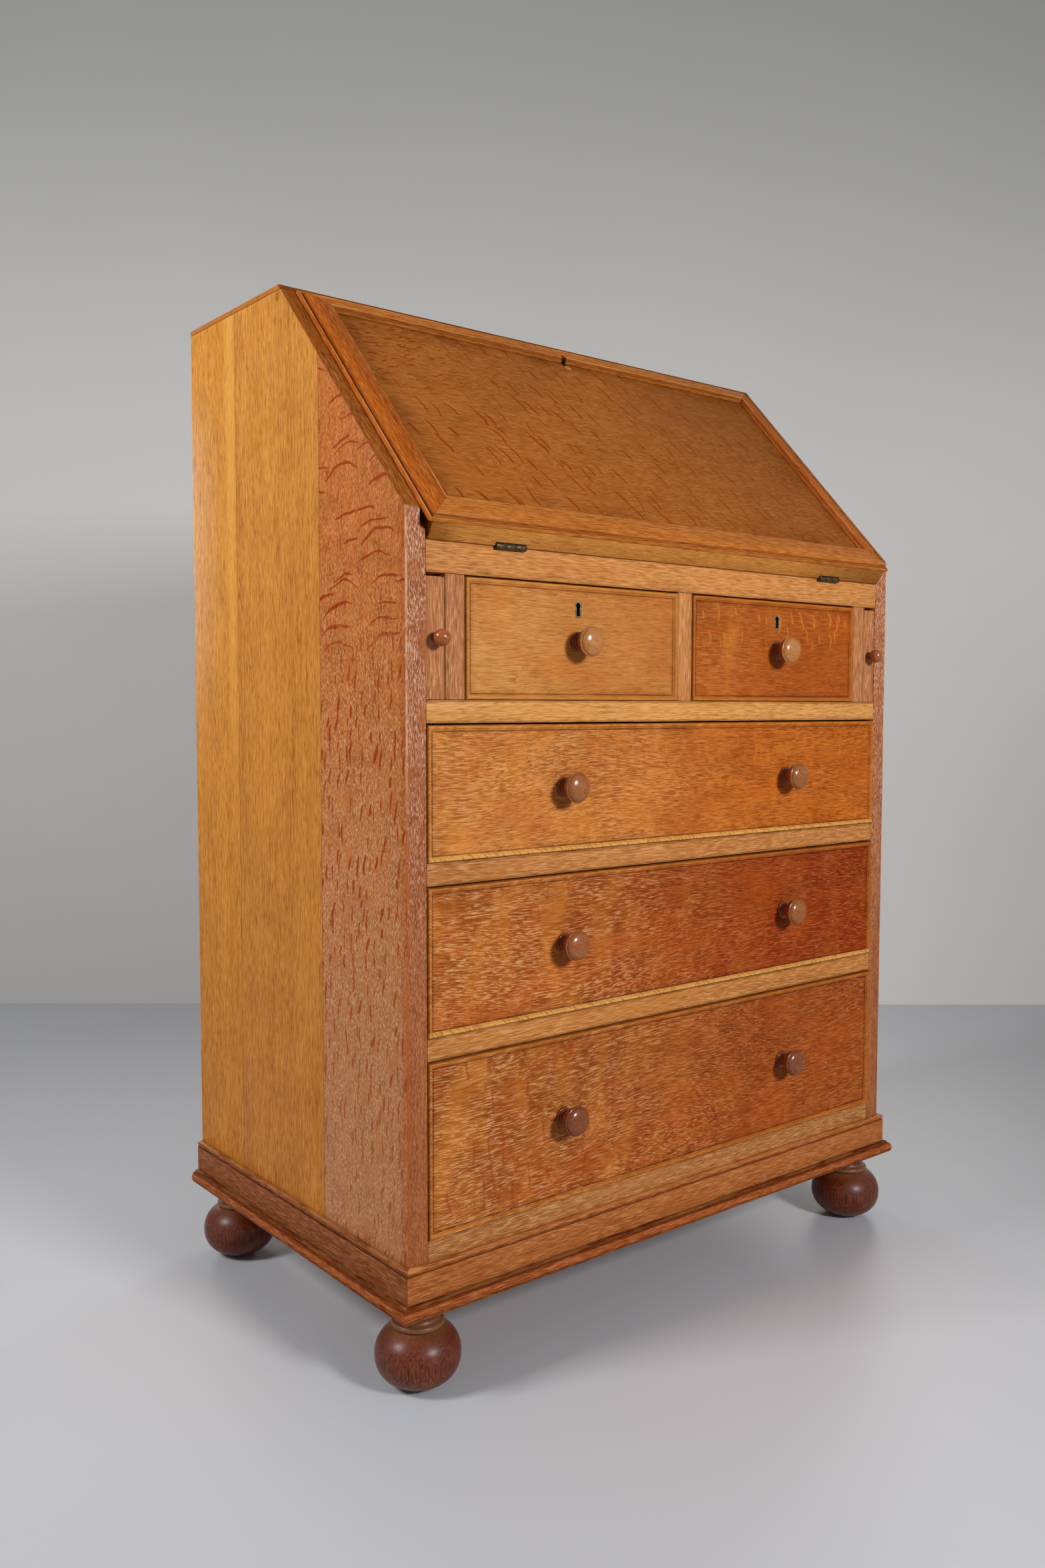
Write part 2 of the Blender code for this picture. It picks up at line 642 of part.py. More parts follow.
def build_fall_board():
    """The fall's board: thin under the mouldings, raised in its field, cut for hinges and lock."""
    outline = [
        (0.0, 0.0),
        (FALL_BODY_TOP, 0.0),
        (FALL_BODY_TOP, FALL_EDGE_T),
        (FALL_EDGE_T * math.tan(FALL_FOOT_BEVEL), FALL_EDGE_T),
    ]
    mesh = outline_mesh(outline, 2 * FALL_BODY_HALF_W, Vector((0.0, 0.0, 0.0)), AXIS_Y, AXIS_Z)
    board = add_part("fall_board", mesh, FALL, OAK_FALL)
    edge = MOULD_W + GAP
    field_x = FALL_HALF_W - edge
    field = box_mesh((-field_x, FALL_FOOT_A + edge, FALL_EDGE_T / 2), (field_x, FALL_TOP - edge, FALL_T))
    combine(board, add_cutter(field, FALL), "UNION")
    for x in (-HINGE_X, HINGE_X):
        for cutter in fall_hinge_cutters(x):
            combine(board, cutter)
    lock_top = FALL_BODY_TOP - LOCK_EDGE + GAP
    lock_half = LOCK_W / 2 + GAP
    pocket_low = (-lock_half, lock_top - LOCK_H - 2 * GAP, -CUT_OVER)
    pocket = box_mesh(pocket_low, (lock_half, lock_top, LOCK_T + GAP))
    combine(board, add_cutter(pocket, FALL))
    return board


def moulding_profile():
    """From the outer edge: a bead, a quirk, a fillet, a long round rising to a crown, and a step."""
    radius = MOULD_BEAD_R
    fillet_start = 2 * radius + MOULD_QUIRK_W
    rise_start = fillet_start + MOULD_FILLET_W
    crown = MOULD_W - MOULD_STEP_W
    rise_w, rise_h = crown - rise_start, MOULD_CROWN_H - MOULD_FILLET_H
    bead = arc(radius, MOULD_BEAD_H, radius, radius, MOULD_QUIRK_ANGLE, 180, MOULD_BEAD_STEPS)
    rise = arc(crown, MOULD_FILLET_H, rise_w, rise_h, 90, 180, MOULD_RISE_STEPS)
    step = [(MOULD_W, 0.0), (MOULD_W, MOULD_STEP_H), (crown, MOULD_STEP_H)]
    quirk = [(fillet_start, MOULD_FILLET_H), (fillet_start, bead[0][1])]
    return [(0.0, 0.0), *step, *rise, *quirk, *bead]


def build_fall_mouldings(board):
    """Four mitred mouldings on the fall; the lower ends are planed flush with the board's foot."""
    profile = moulding_profile()
    foot, half = FALL_FOOT_A, FALL_HALF_W
    side_l, end_l = FALL_TOP - foot, 2 * half - 2 * GAP
    runs = (
        ("fall_moulding_left", side_l, -half, FALL_TOP, AXIS_X),
        ("fall_moulding_right", side_l, half, foot, -AXIS_X),
        ("fall_moulding_top", end_l, half - GAP, FALL_TOP, -AXIS_Y),
        ("fall_moulding_bottom", end_l, GAP - half, foot, AXIS_Y),
    )
    strips = {}
    for name, length, x, y, inward in runs:
        strips[name] = strip_mesh(profile, length, (x, y, FALL_LIP_N), inward, AXIS_Z, 1.0, -1.0)
    parts = {name: add_part(name, mesh, FALL, OAK_FALL) for name, mesh in strips.items()}
    below = box_mesh((-CASE_W, -CASE_D, -CASE_D), (CASE_W, 0.0, CASE_D))
    trim = add_cutter(below, FALL, turn_x=-FALL_FOOT_BEVEL)
    for name in ("fall_moulding_left", "fall_moulding_right", "fall_moulding_bottom"):
        combine(parts[name], trim)
    depth = FALL_LIP_N + MOULD_CROWN_H - LOCK_T + CUT_OVER
    centre = Vector((0.0, LOCK_KEY_A, LOCK_T + depth / 2))
    keyhole = add_cutter(outline_mesh(keyhole_outline(), depth, centre, AXIS_X, AXIS_Y), FALL)
    combine(board, keyhole)
    combine(parts["fall_moulding_top"], keyhole)


def build_fall_lock():
    """The lock of the fall, let into the inner face, with a blind keyhole."""
    top = FALL_BODY_TOP - LOCK_EDGE
    mesh = box_mesh((-LOCK_W / 2, top - LOCK_H, 0.0), (LOCK_W / 2, top, LOCK_T))
    lock = add_part("fall_lock", mesh, FALL, DARK_BRASS, roughness=0.4, metallic=1.0)
    depth = LOCK_T / 2 + CUT_OVER
    centre = Vector((0.0, LOCK_KEY_A, LOCK_T / 2 + depth / 2))
    combine(lock, add_cutter(outline_mesh(keyhole_outline(), depth, centre, AXIS_X, AXIS_Y), FALL))


def build_leaf(name, parent, axis, x, leaf_low, knuckles):
    """A hinge leaf: a plate off the axis, and the barrels it carries, bored for the pin."""
    away = HINGE_R + KNUCKLE_PLAY
    low = axis + Vector((x - HINGE_L / 2, away, leaf_low))
    high = axis + Vector((x + HINGE_L / 2, LEAF_W, leaf_low + LEAF_T))
    leaf = add_part(name, box_mesh(low, high), parent, DARK_BRASS, roughness=0.45, metallic=1.0)
    for start, length in knuckles:
        tab_low = axis + Vector((x + start, 0.0, leaf_low))
        tab = box_mesh(tab_low, tab_low + Vector((length, away + LEAF_T, LEAF_T)))
        combine(leaf, add_cutter(tab, parent), "UNION")
        centre = axis + Vector((x + start + length / 2, 0.0, 0.0))
        combine(leaf, add_cutter(rod_mesh(HINGE_R, centre, AXIS_X, length, HINGE_STEPS), parent), "UNION")
    middle = axis + Vector((x, 0.0, 0.0))
    bore = rod_mesh(PIN_R + PIN_PLAY, middle, AXIS_X, HINGE_L + CUT_OVER, HINGE_STEPS)
    combine(leaf, add_cutter(bore, parent))


def build_hinges():
    """Two butt hinges: outer barrels on the rail, the middle one on the fall, and a pin through them."""
    outer_l = (HINGE_L - KNUCKLE_L) / 2 - GAP
    outer = ((-HINGE_L / 2, outer_l), (HINGE_L / 2 - outer_l, outer_l))
    middle = ((-KNUCKLE_L / 2, KNUCKLE_L),)
    rail_axis = Vector((0.0, -HINGE_OUT, HINGE_Z))
    fall_axis = Vector((0.0, 0.0, 0.0))
    for hand, x in (("left", -HINGE_X), ("right", HINGE_X)):
        build_leaf("hinge_rail_leaf_" + hand, BUREAU, rail_axis, x, HINGE_DROP - LEAF_T, outer)
        build_leaf("hinge_fall_leaf_" + hand, FALL, fall_axis, x, 0.0, middle)
        pin = rod_mesh(PIN_R, rail_axis + Vector((x, 0.0, 0.0)), AXIS_X, HINGE_L, HINGE_STEPS)
        add_part("hinge_pin_" + hand, pin, BUREAU, DARK_BRASS, roughness=0.4, metallic=1.0)


def knob_profile():
    """Mushroom knob: domed face, beaded rim, bowl-shaped underside, neck, ringed base and spigot."""
    rim_z = KNOB_REACH - KNOB_FACE_RISE
    dome = arc(0.0, rim_z, KNOB_FACE_R, KNOB_FACE_RISE, 90, 0, KNOB_DOME_STEPS)
    dome[0] = (0.0, KNOB_REACH)
    rim_half = KNOB_RIM_H / 2
    rim_w = KNOB_HEAD_R - KNOB_FACE_R
    rim = arc(KNOB_FACE_R, rim_z - rim_half, rim_w, rim_half, 45, -90, KNOB_RIM_STEPS)
    bowl_top = rim_z - KNOB_RIM_H
    bowl_w = KNOB_FACE_R - KNOB_NECK_R
    bowl = arc(KNOB_NECK_R, bowl_top, bowl_w, KNOB_BOWL_H, -15, -90, KNOB_BOWL_STEPS)
    ring_z = KNOB_BASE_H + KNOB_RING_H
    return [
        *dome,
        *rim,
        *bowl,
        (KNOB_NECK_R, bowl_top - KNOB_BOWL_H - KNOB_NECK_H),
        (KNOB_RING_R, ring_z),
        (KNOB_RING_R, KNOB_BASE_H),
        (KNOB_BASE_R, KNOB_BASE_H),
        (KNOB_BASE_R, GAP),
        (KNOB_SPIGOT_R, GAP),
        (KNOB_SPIGOT_R, -KNOB_SPIGOT_L),
        (0.0, -KNOB_SPIGOT_L),
    ]


def ball_profile():
    """Loper knob: a ball on a short neck, a small foot and a spigot."""
    neck_angle = -math.degrees(math.acos(BALL_NECK_R / BALL_R))
    ball = arc(0.0, BALL_CENTRE, BALL_R, BALL_R, 90, neck_angle, BALL_SIDE_STEPS)
    ball[0] = (0.0, BALL_CENTRE + BALL_R)
    return [
        *ball,
        (BALL_NECK_R, BALL_BASE_H),
        (BALL_BASE_R, BALL_BASE_H),
        (BALL_BASE_R, GAP),
        (BALL_SPIGOT_R, GAP),
        (BALL_SPIGOT_R, -BALL_SPIGOT_L),
        (0.0, -BALL_SPIGOT_L),
    ]


def add_knob(name, board, parent, face, x, z, profile, spigot_r, spigot_l, steps, colour):
    """A turned knob on a board's face, with its spigot in a blind hole."""
    turned_part(name, profile, steps, parent, colour, (x, face, z), turn_x=math.pi / 2)
    depth = spigot_l + GAP + CUT_OVER
    centre = (x, face + spigot_l + GAP - depth / 2, z)
    combine(board, add_cutter(rod_mesh(spigot_r + GAP, centre, AXIS_Y, depth, steps), parent))


def beaded_board(width, height):
    """A drawer front with a rounded bead standing round its edge, from its lower middle."""
    front = FACE_SET - BEAD_PROUD
    bm = box_bmesh((-width / 2, front, 0.0), (width / 2, FACE_SET + FRONT_T, height))
    bm.faces.ensure_lookup_table()
    face = min(bm.faces, key=lambda item: item.calc_center_median().y)
    bmesh.ops.inset_region(bm, faces=[face], thickness=BEAD_W - BEAD_QUIRK_W)
    bmesh.ops.inset_region(bm, faces=[face], thickness=BEAD_QUIRK_W, depth=-BEAD_PROUD)
    rim = []
    for edge in bm.edges:
        on_front = all(abs(vert.co.y - front) < SAME_PLACE for vert in edge.verts)
        run = edge.verts[0].co - edge.verts[1].co
        if on_front and min(abs(run.x), abs(run.z)) < SAME_PLACE:
            rim.append(edge)
    bmesh.ops.bevel(
        bm, geom=rim, offset=BEAD_ROUND, segments=DRAWER_BEAD_STEPS, profile=BEAD_SHAPE, affect="EDGES"
    )
    return mesh_from(bm, "beaded_board")


def build_drawer(name, x_low, x_high, z_low, opening_h, knob_places, keyhole):
    """A drawer: beaded front, open box let into its back, knobs, and a keyhole on the small ones."""
    middle_x = (x_low + x_high) / 2
    parent = add_empty(name, (middle_x, 0.0, z_low + GAP), BUREAU)
    opening_w = x_high - x_low
    front_w = opening_w - 2 * DRAWER_SIDE_PLAY
    front_h = opening_h - DRAWER_TOP_PLAY - GAP
    front = add_part(name + "_front", beaded_board(front_w, front_h), parent, OAK_FRONT)

    box_w = opening_w - 2 * BOX_SIDE_PLAY
    box_h = front_h - BOX_TOP_DROP
    inner_y = FACE_SET + FRONT_T + GAP
    lap_y = inner_y - BOX_LAP
    back_y = BOARD_END_Y - BOX_BACK_ROOM
    outer = box_mesh((-box_w / 2, lap_y, 0.0), (box_w / 2, back_y, box_h))
    box = add_part(name + "_box", outer, parent, OAK_INSIDE, roughness=0.55)
    inside_x = box_w / 2 - BOX_T
    open_top = box_h + CUT_OVER
    low, high = (-inside_x, lap_y - CUT_OVER, BOX_BOTTOM_T), (inside_x, back_y - BOX_T, open_top)
    combine(box, add_cutter(box_mesh(low, high), parent))
    low, high = (-inside_x, lap_y - CUT_OVER, -CUT_OVER), (inside_x, inner_y, open_top)
    combine(box, add_cutter(box_mesh(low, high), parent))
    for hand in (-1, 1):
        near, far = hand * (inside_x - GAP), hand * (front_w / 2 + CUT_OVER)
        lap = box_mesh((near, lap_y - GAP, -CUT_OVER), (far, inner_y + CUT_OVER, box_h + GAP))
        combine(front, add_cutter(lap, parent))

    knob_z = front_h / 2 + KNOB_RISE
    for suffix, x in knob_places:
        add_knob(
            name + "_knob" + suffix, front, parent, FACE_SET, x, knob_z,
            knob_profile(), KNOB_SPIGOT_R, KNOB_SPIGOT_L, KNOB_STEPS, OAK_FRONT,
        )
    if keyhole:
        depth = KEYHOLE_DEPTH + CUT_OVER
        centre = Vector((0.0, FACE_SET + KEYHOLE_DEPTH - depth / 2, knob_z + SMALL_KEY_RISE))
        combine(front, add_cutter(outline_mesh(keyhole_outline(), depth, centre, AXIS_X, AXIS_Z), parent))


def build_drawers():
    single = (("", 0.0),)
    pair = (("_left", -LONG_KNOB_X), ("_right", LONG_KNOB_X))
    centre = PARTITION_T / 2
    build_drawer("drawer_small_left", -PARTITION_IN_X, -centre, SMALL_Z, SMALL_OPENING_H, single, True)
    build_drawer("drawer_small_right", centre, PARTITION_IN_X, SMALL_Z, SMALL_OPENING_H, single, True)
    build_drawer("drawer_upper", -INNER_X, INNER_X, UPPER_Z, UPPER_OPENING_H, pair, False)
    build_drawer("drawer_middle", -INNER_X, INNER_X, MIDDLE_Z, MIDDLE_OPENING_H, pair, False)
    build_drawer("drawer_lower", -INNER_X, INNER_X, LOWER_Z, LOWER_OPENING_H, pair, False)


def build_lopers():
    """Pull-out boards that carry the open fall on their raised top edges."""
    thickness = LOPER_OPENING_W - 2 * LOPER_PLAY
    nose_h = SMALL_OPENING_H - LOPER_TOP_GAP - GAP
    land_h = SMALL_OPENING_H - 2 * GAP
    outline = [
        (LOPER_SET, 0.0),
        (LOPER_L, 0.0),
        (LOPER_L, land_h),
        (LOPER_NOSE, land_h),
        (LOPER_NOSE, nose_h),
        (LOPER_SET, nose_h),
    ]
    offset = PARTITION_OUT_X + LOPER_OPENING_W / 2
    for name, x in (("loper_left", -offset), ("loper_right", offset)):
        parent = add_empty(name + "_slide", (x, 0.0, SMALL_Z + GAP), BUREAU)
        mesh = outline_mesh(outline, thickness, Vector((0.0, 0.0, 0.0)), AXIS_Y, AXIS_Z)
        board = add_part(name, mesh, parent, OAK_FRONT)
        add_knob(
            name + "_knob", board, parent, LOPER_SET, 0.0, nose_h / 2,
            ball_profile(), BALL_SPIGOT_R, BALL_SPIGOT_L, BALL_STEPS, OAK_FRONT,
        )


build_side("side_left", -1)
build_side("side_right", 1)
build_top()
build_back()
build_base()
build_feet()
build_plinth()
build_rails()
build_boards()
build_partitions()
build_rack()
FALL_BOARD = build_fall_board()
build_fall_mouldings(FALL_BOARD)
build_fall_lock()
build_hinges()
build_lopers()
build_drawers()
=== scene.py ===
"""Looks of the writing bureau: oak finishes, turned feet and knobs, small brass, studio and camera."""
import json
import math
from collections import namedtuple
from functools import partialmethod

import bmesh
import bpy
from mathutils import Matrix, Vector


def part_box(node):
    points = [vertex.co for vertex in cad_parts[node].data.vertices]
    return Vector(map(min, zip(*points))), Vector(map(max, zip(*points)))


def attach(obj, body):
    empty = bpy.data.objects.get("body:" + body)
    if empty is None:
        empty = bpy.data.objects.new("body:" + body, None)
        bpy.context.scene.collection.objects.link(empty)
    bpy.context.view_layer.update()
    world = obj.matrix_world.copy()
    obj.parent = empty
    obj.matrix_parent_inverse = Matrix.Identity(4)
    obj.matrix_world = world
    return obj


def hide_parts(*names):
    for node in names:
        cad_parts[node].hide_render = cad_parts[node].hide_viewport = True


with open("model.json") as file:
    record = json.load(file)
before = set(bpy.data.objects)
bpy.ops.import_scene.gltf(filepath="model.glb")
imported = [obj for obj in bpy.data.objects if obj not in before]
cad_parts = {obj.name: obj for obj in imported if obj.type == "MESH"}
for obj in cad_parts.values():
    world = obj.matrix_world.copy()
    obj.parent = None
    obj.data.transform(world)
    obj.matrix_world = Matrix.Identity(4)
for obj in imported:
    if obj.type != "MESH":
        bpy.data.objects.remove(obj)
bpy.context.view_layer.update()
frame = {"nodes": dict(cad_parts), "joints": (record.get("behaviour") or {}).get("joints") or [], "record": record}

NODES = frame["nodes"]
BODY_OF = {node: body for body, nodes in frame["record"]["behaviour"]["bodies"].items() for node in nodes}
HANDS = ("left", "right")

# Camera, solved from the photograph's edges
IMAGE_H = 2352
FOCAL_PIXELS = 1899.3
SENSOR_H = 36.0
CAMERA_PLACE = Vector((-0.9556, -1.12495, 0.6251))
CAMERA_YAW = math.radians(38.727)  # from +Y towards +X
CAMERA_PITCH = math.radians(3.478)  # downwards
CAMERA_ROLL = math.radians(-0.061)

# Studio
WALL_AWAY = 2.637  # wall from the camera, on the floor
WALL_W, WALL_H = 9.0, 5.0
WALL_FADE_Z = (0.9, 2.2)  # heights between which the wall turns to its top colour
FLOOR_BACK = 4.0  # floor behind the camera
FLOOR_BEYOND = 4.0  # floor on the far side of the wall
FLOOR_ROUGH, WALL_ROUGH, STAGE_SHINE = 0.5, 0.8, 0.25
LAMPS = {  # place, width, power, spread in degrees
    "front_lamp": ((0.05, -2.15, 1.25), 0.40, 34.5, 180),
    "left_lamp": ((-2.10, 0.30, 1.75), 0.6, 35.5, 180),
    "right_lamp": ((2.30, 1.20, 1.10), 0.8, 2.0, 50),
    "back_lamp": ((0.20, 2.40, 1.10), 0.8, 2.0, 50),
}
LAMP_AIM = Vector((0.0, 0.0, 0.75))
WORLD_LEVEL, BACKGROUND_LEVEL = 0.14, 0.55  # light on the object, and what the camera sees
FLOOR_COLOUR = (197, 200, 205)
WALL_COLOUR = (211, 210, 208)
# painted shade: the wall's top colour is darker, as the light falls off upwards
WALL_TOP_COLOUR = (167, 167, 163)
MOTTLE_LEVELS, MOTTLE_SHARE = (0.3, 0.7), 0.06

# The fall's own frame: along its slope from the hinge, and out of its face
HINGE = next(joint for joint in frame["joints"] if joint["name"] == "fall_hinge")
PIVOT = Vector(HINGE["pos_m"])
SLOPE = math.pi - math.radians(max(HINGE["range_deg"]))
FALL_UP = Vector((0.0, math.cos(SLOPE), math.sin(SLOPE)))
FALL_OUT = Vector((0.0, -math.sin(SLOPE), math.cos(SLOPE)))

# Sizes in metres
SKIN = 0.0005  # depth within which a face is told by its plane
HAIR = 0.0002  # half width of a sharp change of board
SOFT_EDGE = 0.0006  # rounding of worn arrises

# A mark is full up to near, and gone from far on. Noise has so many features to a metre along and
# across the grain. Strokes are so many to a metre along and across, and each one's shape is in
# shares of its cell.
Tone = namedtuple("Tone", "pale deep limed")
Mark = namedtuple("Mark", "near far share")
Noise = namedtuple("Noise", "along across detail rough", defaults=(2.0, 0.5))
Strokes = namedtuple("Strokes", "per_along per_across length width slant bow cover lean", defaults=(0.0,))

GRAIN_DRIFT = Noise(3.0, 9.0, 1.0)
BAR_EDGES = Noise(10.0, 45.0, 3.0, 0.6)
PATCHES = Noise(13.0, 16.0, 3.0, 0.6)
BROAD_BANDS = Noise(1.8, 46.0, 3.0)
NARROW_BANDS = Noise(16.0, 300.0)
DASHES = Noise(78.0, 930.0)
LIMED_PLACES = Noise(11.0, 34.0)
STROKE_BENDS = Noise(26.0, 26.0)
RUBBING = Noise(30.0, 60.0, 3.0)
BOARD_WEAR = Noise(25.0, 60.0, 3.0)
MOULD_WEAR = Noise(18.0, 60.0, 3.0)
FLAMES = Noise(30.0, 12.0, 3.0)
RED_CLOUDS = Noise(11.0, 24.0, 3.0)
LID_DIRT = Noise(22.0, 40.0, 3.0)
CHIP_RAGGED = Noise(300.0, 300.0, 3.0)
BRASS_BLOTCHES = Noise(420.0, 420.0, 3.0, 0.6)
TURNING_LINES = Noise(900.0, 900.0)
STAGE_MOTTLE = Noise(1.5, 1.5, 4.0)
SIDE_HILLS = Strokes(17.0, 56.0, 0.6, 0.10, 0.1, 1.2, 0.7, 0.9)
SIDE_DROPS = Strokes(42.0, 100.0, 0.5, 0.19, 0.1, 0.4, 0.72, 0.6)
DRAWER_CURLS = Strokes(42.0, 80.0, 0.5, 0.17, 0.1, 0.9, 0.7)
DRAWER_REDS = Strokes(24.0, 70.0, 0.5, 0.16, 0.1, 0.4, 0.3)
ROPE_STRANDS = Strokes(170.0, 190.0, 0.6, 0.36, 0.9, 0.0, 0.85)
LID_WAVES = Strokes(30.0, 60.0, 0.55, 0.13, 0.3, 0.5, 0.6, 0.7)
LID_DASHES = Strokes(62.0, 120.0, 0.5, 0.17, -0.4, 0.6, 0.75, 0.9)
SOFT_SPLIT, SHARP_SPLIT = (0.35, 0.65), (0.40, 0.60)  # levels that part a noise into two


def srgb(red, green, blue):
    """A colour as it looks on screen, 0 to 255, in the linear values that shaders take."""
    def linear(value):
        share = value / 255
        return share / 12.92 if share <= 0.04045 else ((share + 0.055) / 1.055) ** 2.4
    return (linear(red), linear(green), linear(blue), 1.0)


def tone(red, green, blue, spread=0.34, lime=(218, 164, 110)):
    """An oak tone from its mean colour: a paler and a deeper one for the grain, and its limed pores."""
    mean = srgb(red, green, blue)
    shifts = [spread * share for share in (0.8, 1.0, 1.2)]
    pale = tuple(min(value * (1 + shift), 1.0) for value, shift in zip(mean, shifts)) + (1.0,)
    deep = tuple(value * (1 - shift) for value, shift in zip(mean, shifts)) + (1.0,)
    return Tone(pale, deep, srgb(*lime))


# Shader nodes

class Graph:
    """Adds nodes to a tree; a value that is a socket is linked, and any other is set."""

    def __init__(self, tree):
        self.tree = tree

    def add(self, kind, inputs=None, **settings):
        node = self.tree.nodes.new(kind if "Node" in kind else "ShaderNode" + kind)
        for key, value in settings.items():
            setattr(node, key, value)
        for key, value in (inputs or {}).items():
            if isinstance(value, bpy.types.NodeSocket):
                self.tree.links.new(value, node.inputs[key])
            else:
                node.inputs[key].default_value = value
        return node

    def math(self, operation, first, second=0.0, clamp=False):
        return self.add("Math", {0: first, 1: second}, operation=operation, use_clamp=clamp).outputs[0]

    def chain(self, operation, *values):
        total = values[0]
        for value in values[1:]:
            total = self.math(operation, total, value)
        return total

    plus = partialmethod(chain, "ADD")
    times = partialmethod(chain, "MULTIPLY")
    nearest = partialmethod(chain, "MINIMUM")
    highest = partialmethod(chain, "MAXIMUM")
    less = partialmethod(math, "SUBTRACT")
    above = partialmethod(math, "GREATER_THAN")

    def rest(self, share):
        """What a share leaves of 1."""
        return self.less(1.0, share)

    def off(self, value, place):
        """How far a value is from a place, on either side."""
        return self.math("ABSOLUTE", self.less(value, place))

    def within(self, value, low, high):
        """How far a value is inside the nearer of two limits."""
        return self.nearest(self.less(value, low), self.less(high, value))

    def oval(self, first, second, centre, size):
        """Square of how far two values are from an oval's centre, which is 1 on its rim."""
        squares = []
        for value, middle, half in zip((first, second), centre, size):
            squares.append(self.math("POWER", self.times(self.less(value, middle), 1 / half), 2.0))
        return self.plus(*squares)

    def between(self, share, low, high):
        """Goes evenly from low to high with the share."""
        return self.plus(low, self.times(share, high - low))

    def ramp(self, value, low, high, start=0.0, end=1.0):
        """Goes smoothly from start to end while the value goes from low to high."""
        inputs = {"Value": value, "From Min": low, "From Max": high, "To Min": start, "To Max": end}
        return self.add("MapRange", inputs, interpolation_type="SMOOTHSTEP").outputs[0]

    def fade(self, value, near, far):
        """One up to near, and nothing from far on."""
        return self.ramp(value, near, far, 1.0, 0.0)

    def mark(self, value, kind):
        return self.times(self.fade(value, kind.near, kind.far), kind.share)

    def blend(self, share, first, second, how="MIX"):
        inputs = {0: share, 6: first, 7: second}
        return self.add("Mix", inputs, data_type="RGBA", blend_type=how).outputs[2]

    def pick(self, share, first, second):
        """The second oak tone where the share is 1."""
        return Tone(*(self.blend(share, one, other) for one, other in zip(first, second)))

    def choose(self, share, first, second):
        """The second number where the share is 1."""
        return self.add("Mix", {0: share, 2: first, 3: second}, data_type="FLOAT").outputs[0]

    def vector(self, x, y, z):
        return self.add("CombineXYZ", {0: x, 1: y, 2: z}).outputs[0]

    def parts(self, vector):
        return self.add("SeparateXYZ", {0: vector}).outputs

    def vectors(self, operation, first, second, output=0):
        return self.add("VectorMath", {0: first, 1: second}, operation=operation).outputs[output]

    def noise(self, vector, kind):
        """Smooth noise round 0.5."""
        scaled = self.vectors("MULTIPLY", vector, (kind.along, kind.across, kind.across))
        inputs = {"Vector": scaled, "Scale": 1.0, "Detail": kind.detail, "Roughness": kind.rough}
        return self.add("TexNoise", inputs).outputs[0]

    def swing(self, vector, kind):
        """Smooth noise round zero."""
        return self.less(self.noise(vector, kind), 0.5)

    def flecks(self, along, across, strokes):
        """Curved strokes with their long way along the first place."""
        inputs = {"vector": self.vector(along, across, 0.0), **strokes._asdict()}
        return self.add("Group", inputs, node_tree=FLECKS).outputs[0]


def new_group(name, inputs, output):
    """A node group with a vector and other inputs; a tuple stands for a colour."""
    tree = bpy.data.node_groups.new(name, "ShaderNodeTree")
    kinds = {float: "NodeSocketFloat", tuple: "NodeSocketColor", str: "NodeSocketVector"}
    for way, sockets in (("INPUT", {"vector": "", **inputs}), ("OUTPUT", output)):
        for key, value in sockets.items():
            socket = tree.interface.new_socket(name=key, in_out=way, socket_type=kinds[type(value)])
            if value != "":
                socket.default_value = value
    return Graph(tree), tree.nodes.new("NodeGroupInput").outputs, tree.nodes.new("NodeGroupOutput").inputs[0]


WHITE = (1.0, 1.0, 1.0, 1.0)
MID_GREY = (0.5, 0.5, 0.5, 1.0)
PORE_STAIN = (0.60, 0.36, 0.20, 1.0)
DRIFT_SCALE = 4.0
BARS_PER_M, BAR_RAG, BAR_SLIP = 26.0, 3.0, 0.3  # bars of figure, their ragged edges, and the grain's jump
BROAD_SHARE, NARROW_SHARE, DASH_SHARE, FIGURE_SHARE = 0.9, 1.7, 3.5, 0.5  # in the oak's bands
FIGURE_LEVELS = (-0.08, 0.08)  # of the patches
PORE_LEVELS, LIMED_LEVELS = (0.34, 0.43), (0.53, 0.60)  # of the dashes
LIMED_PLACE_LEVELS = (0.28, 0.50)


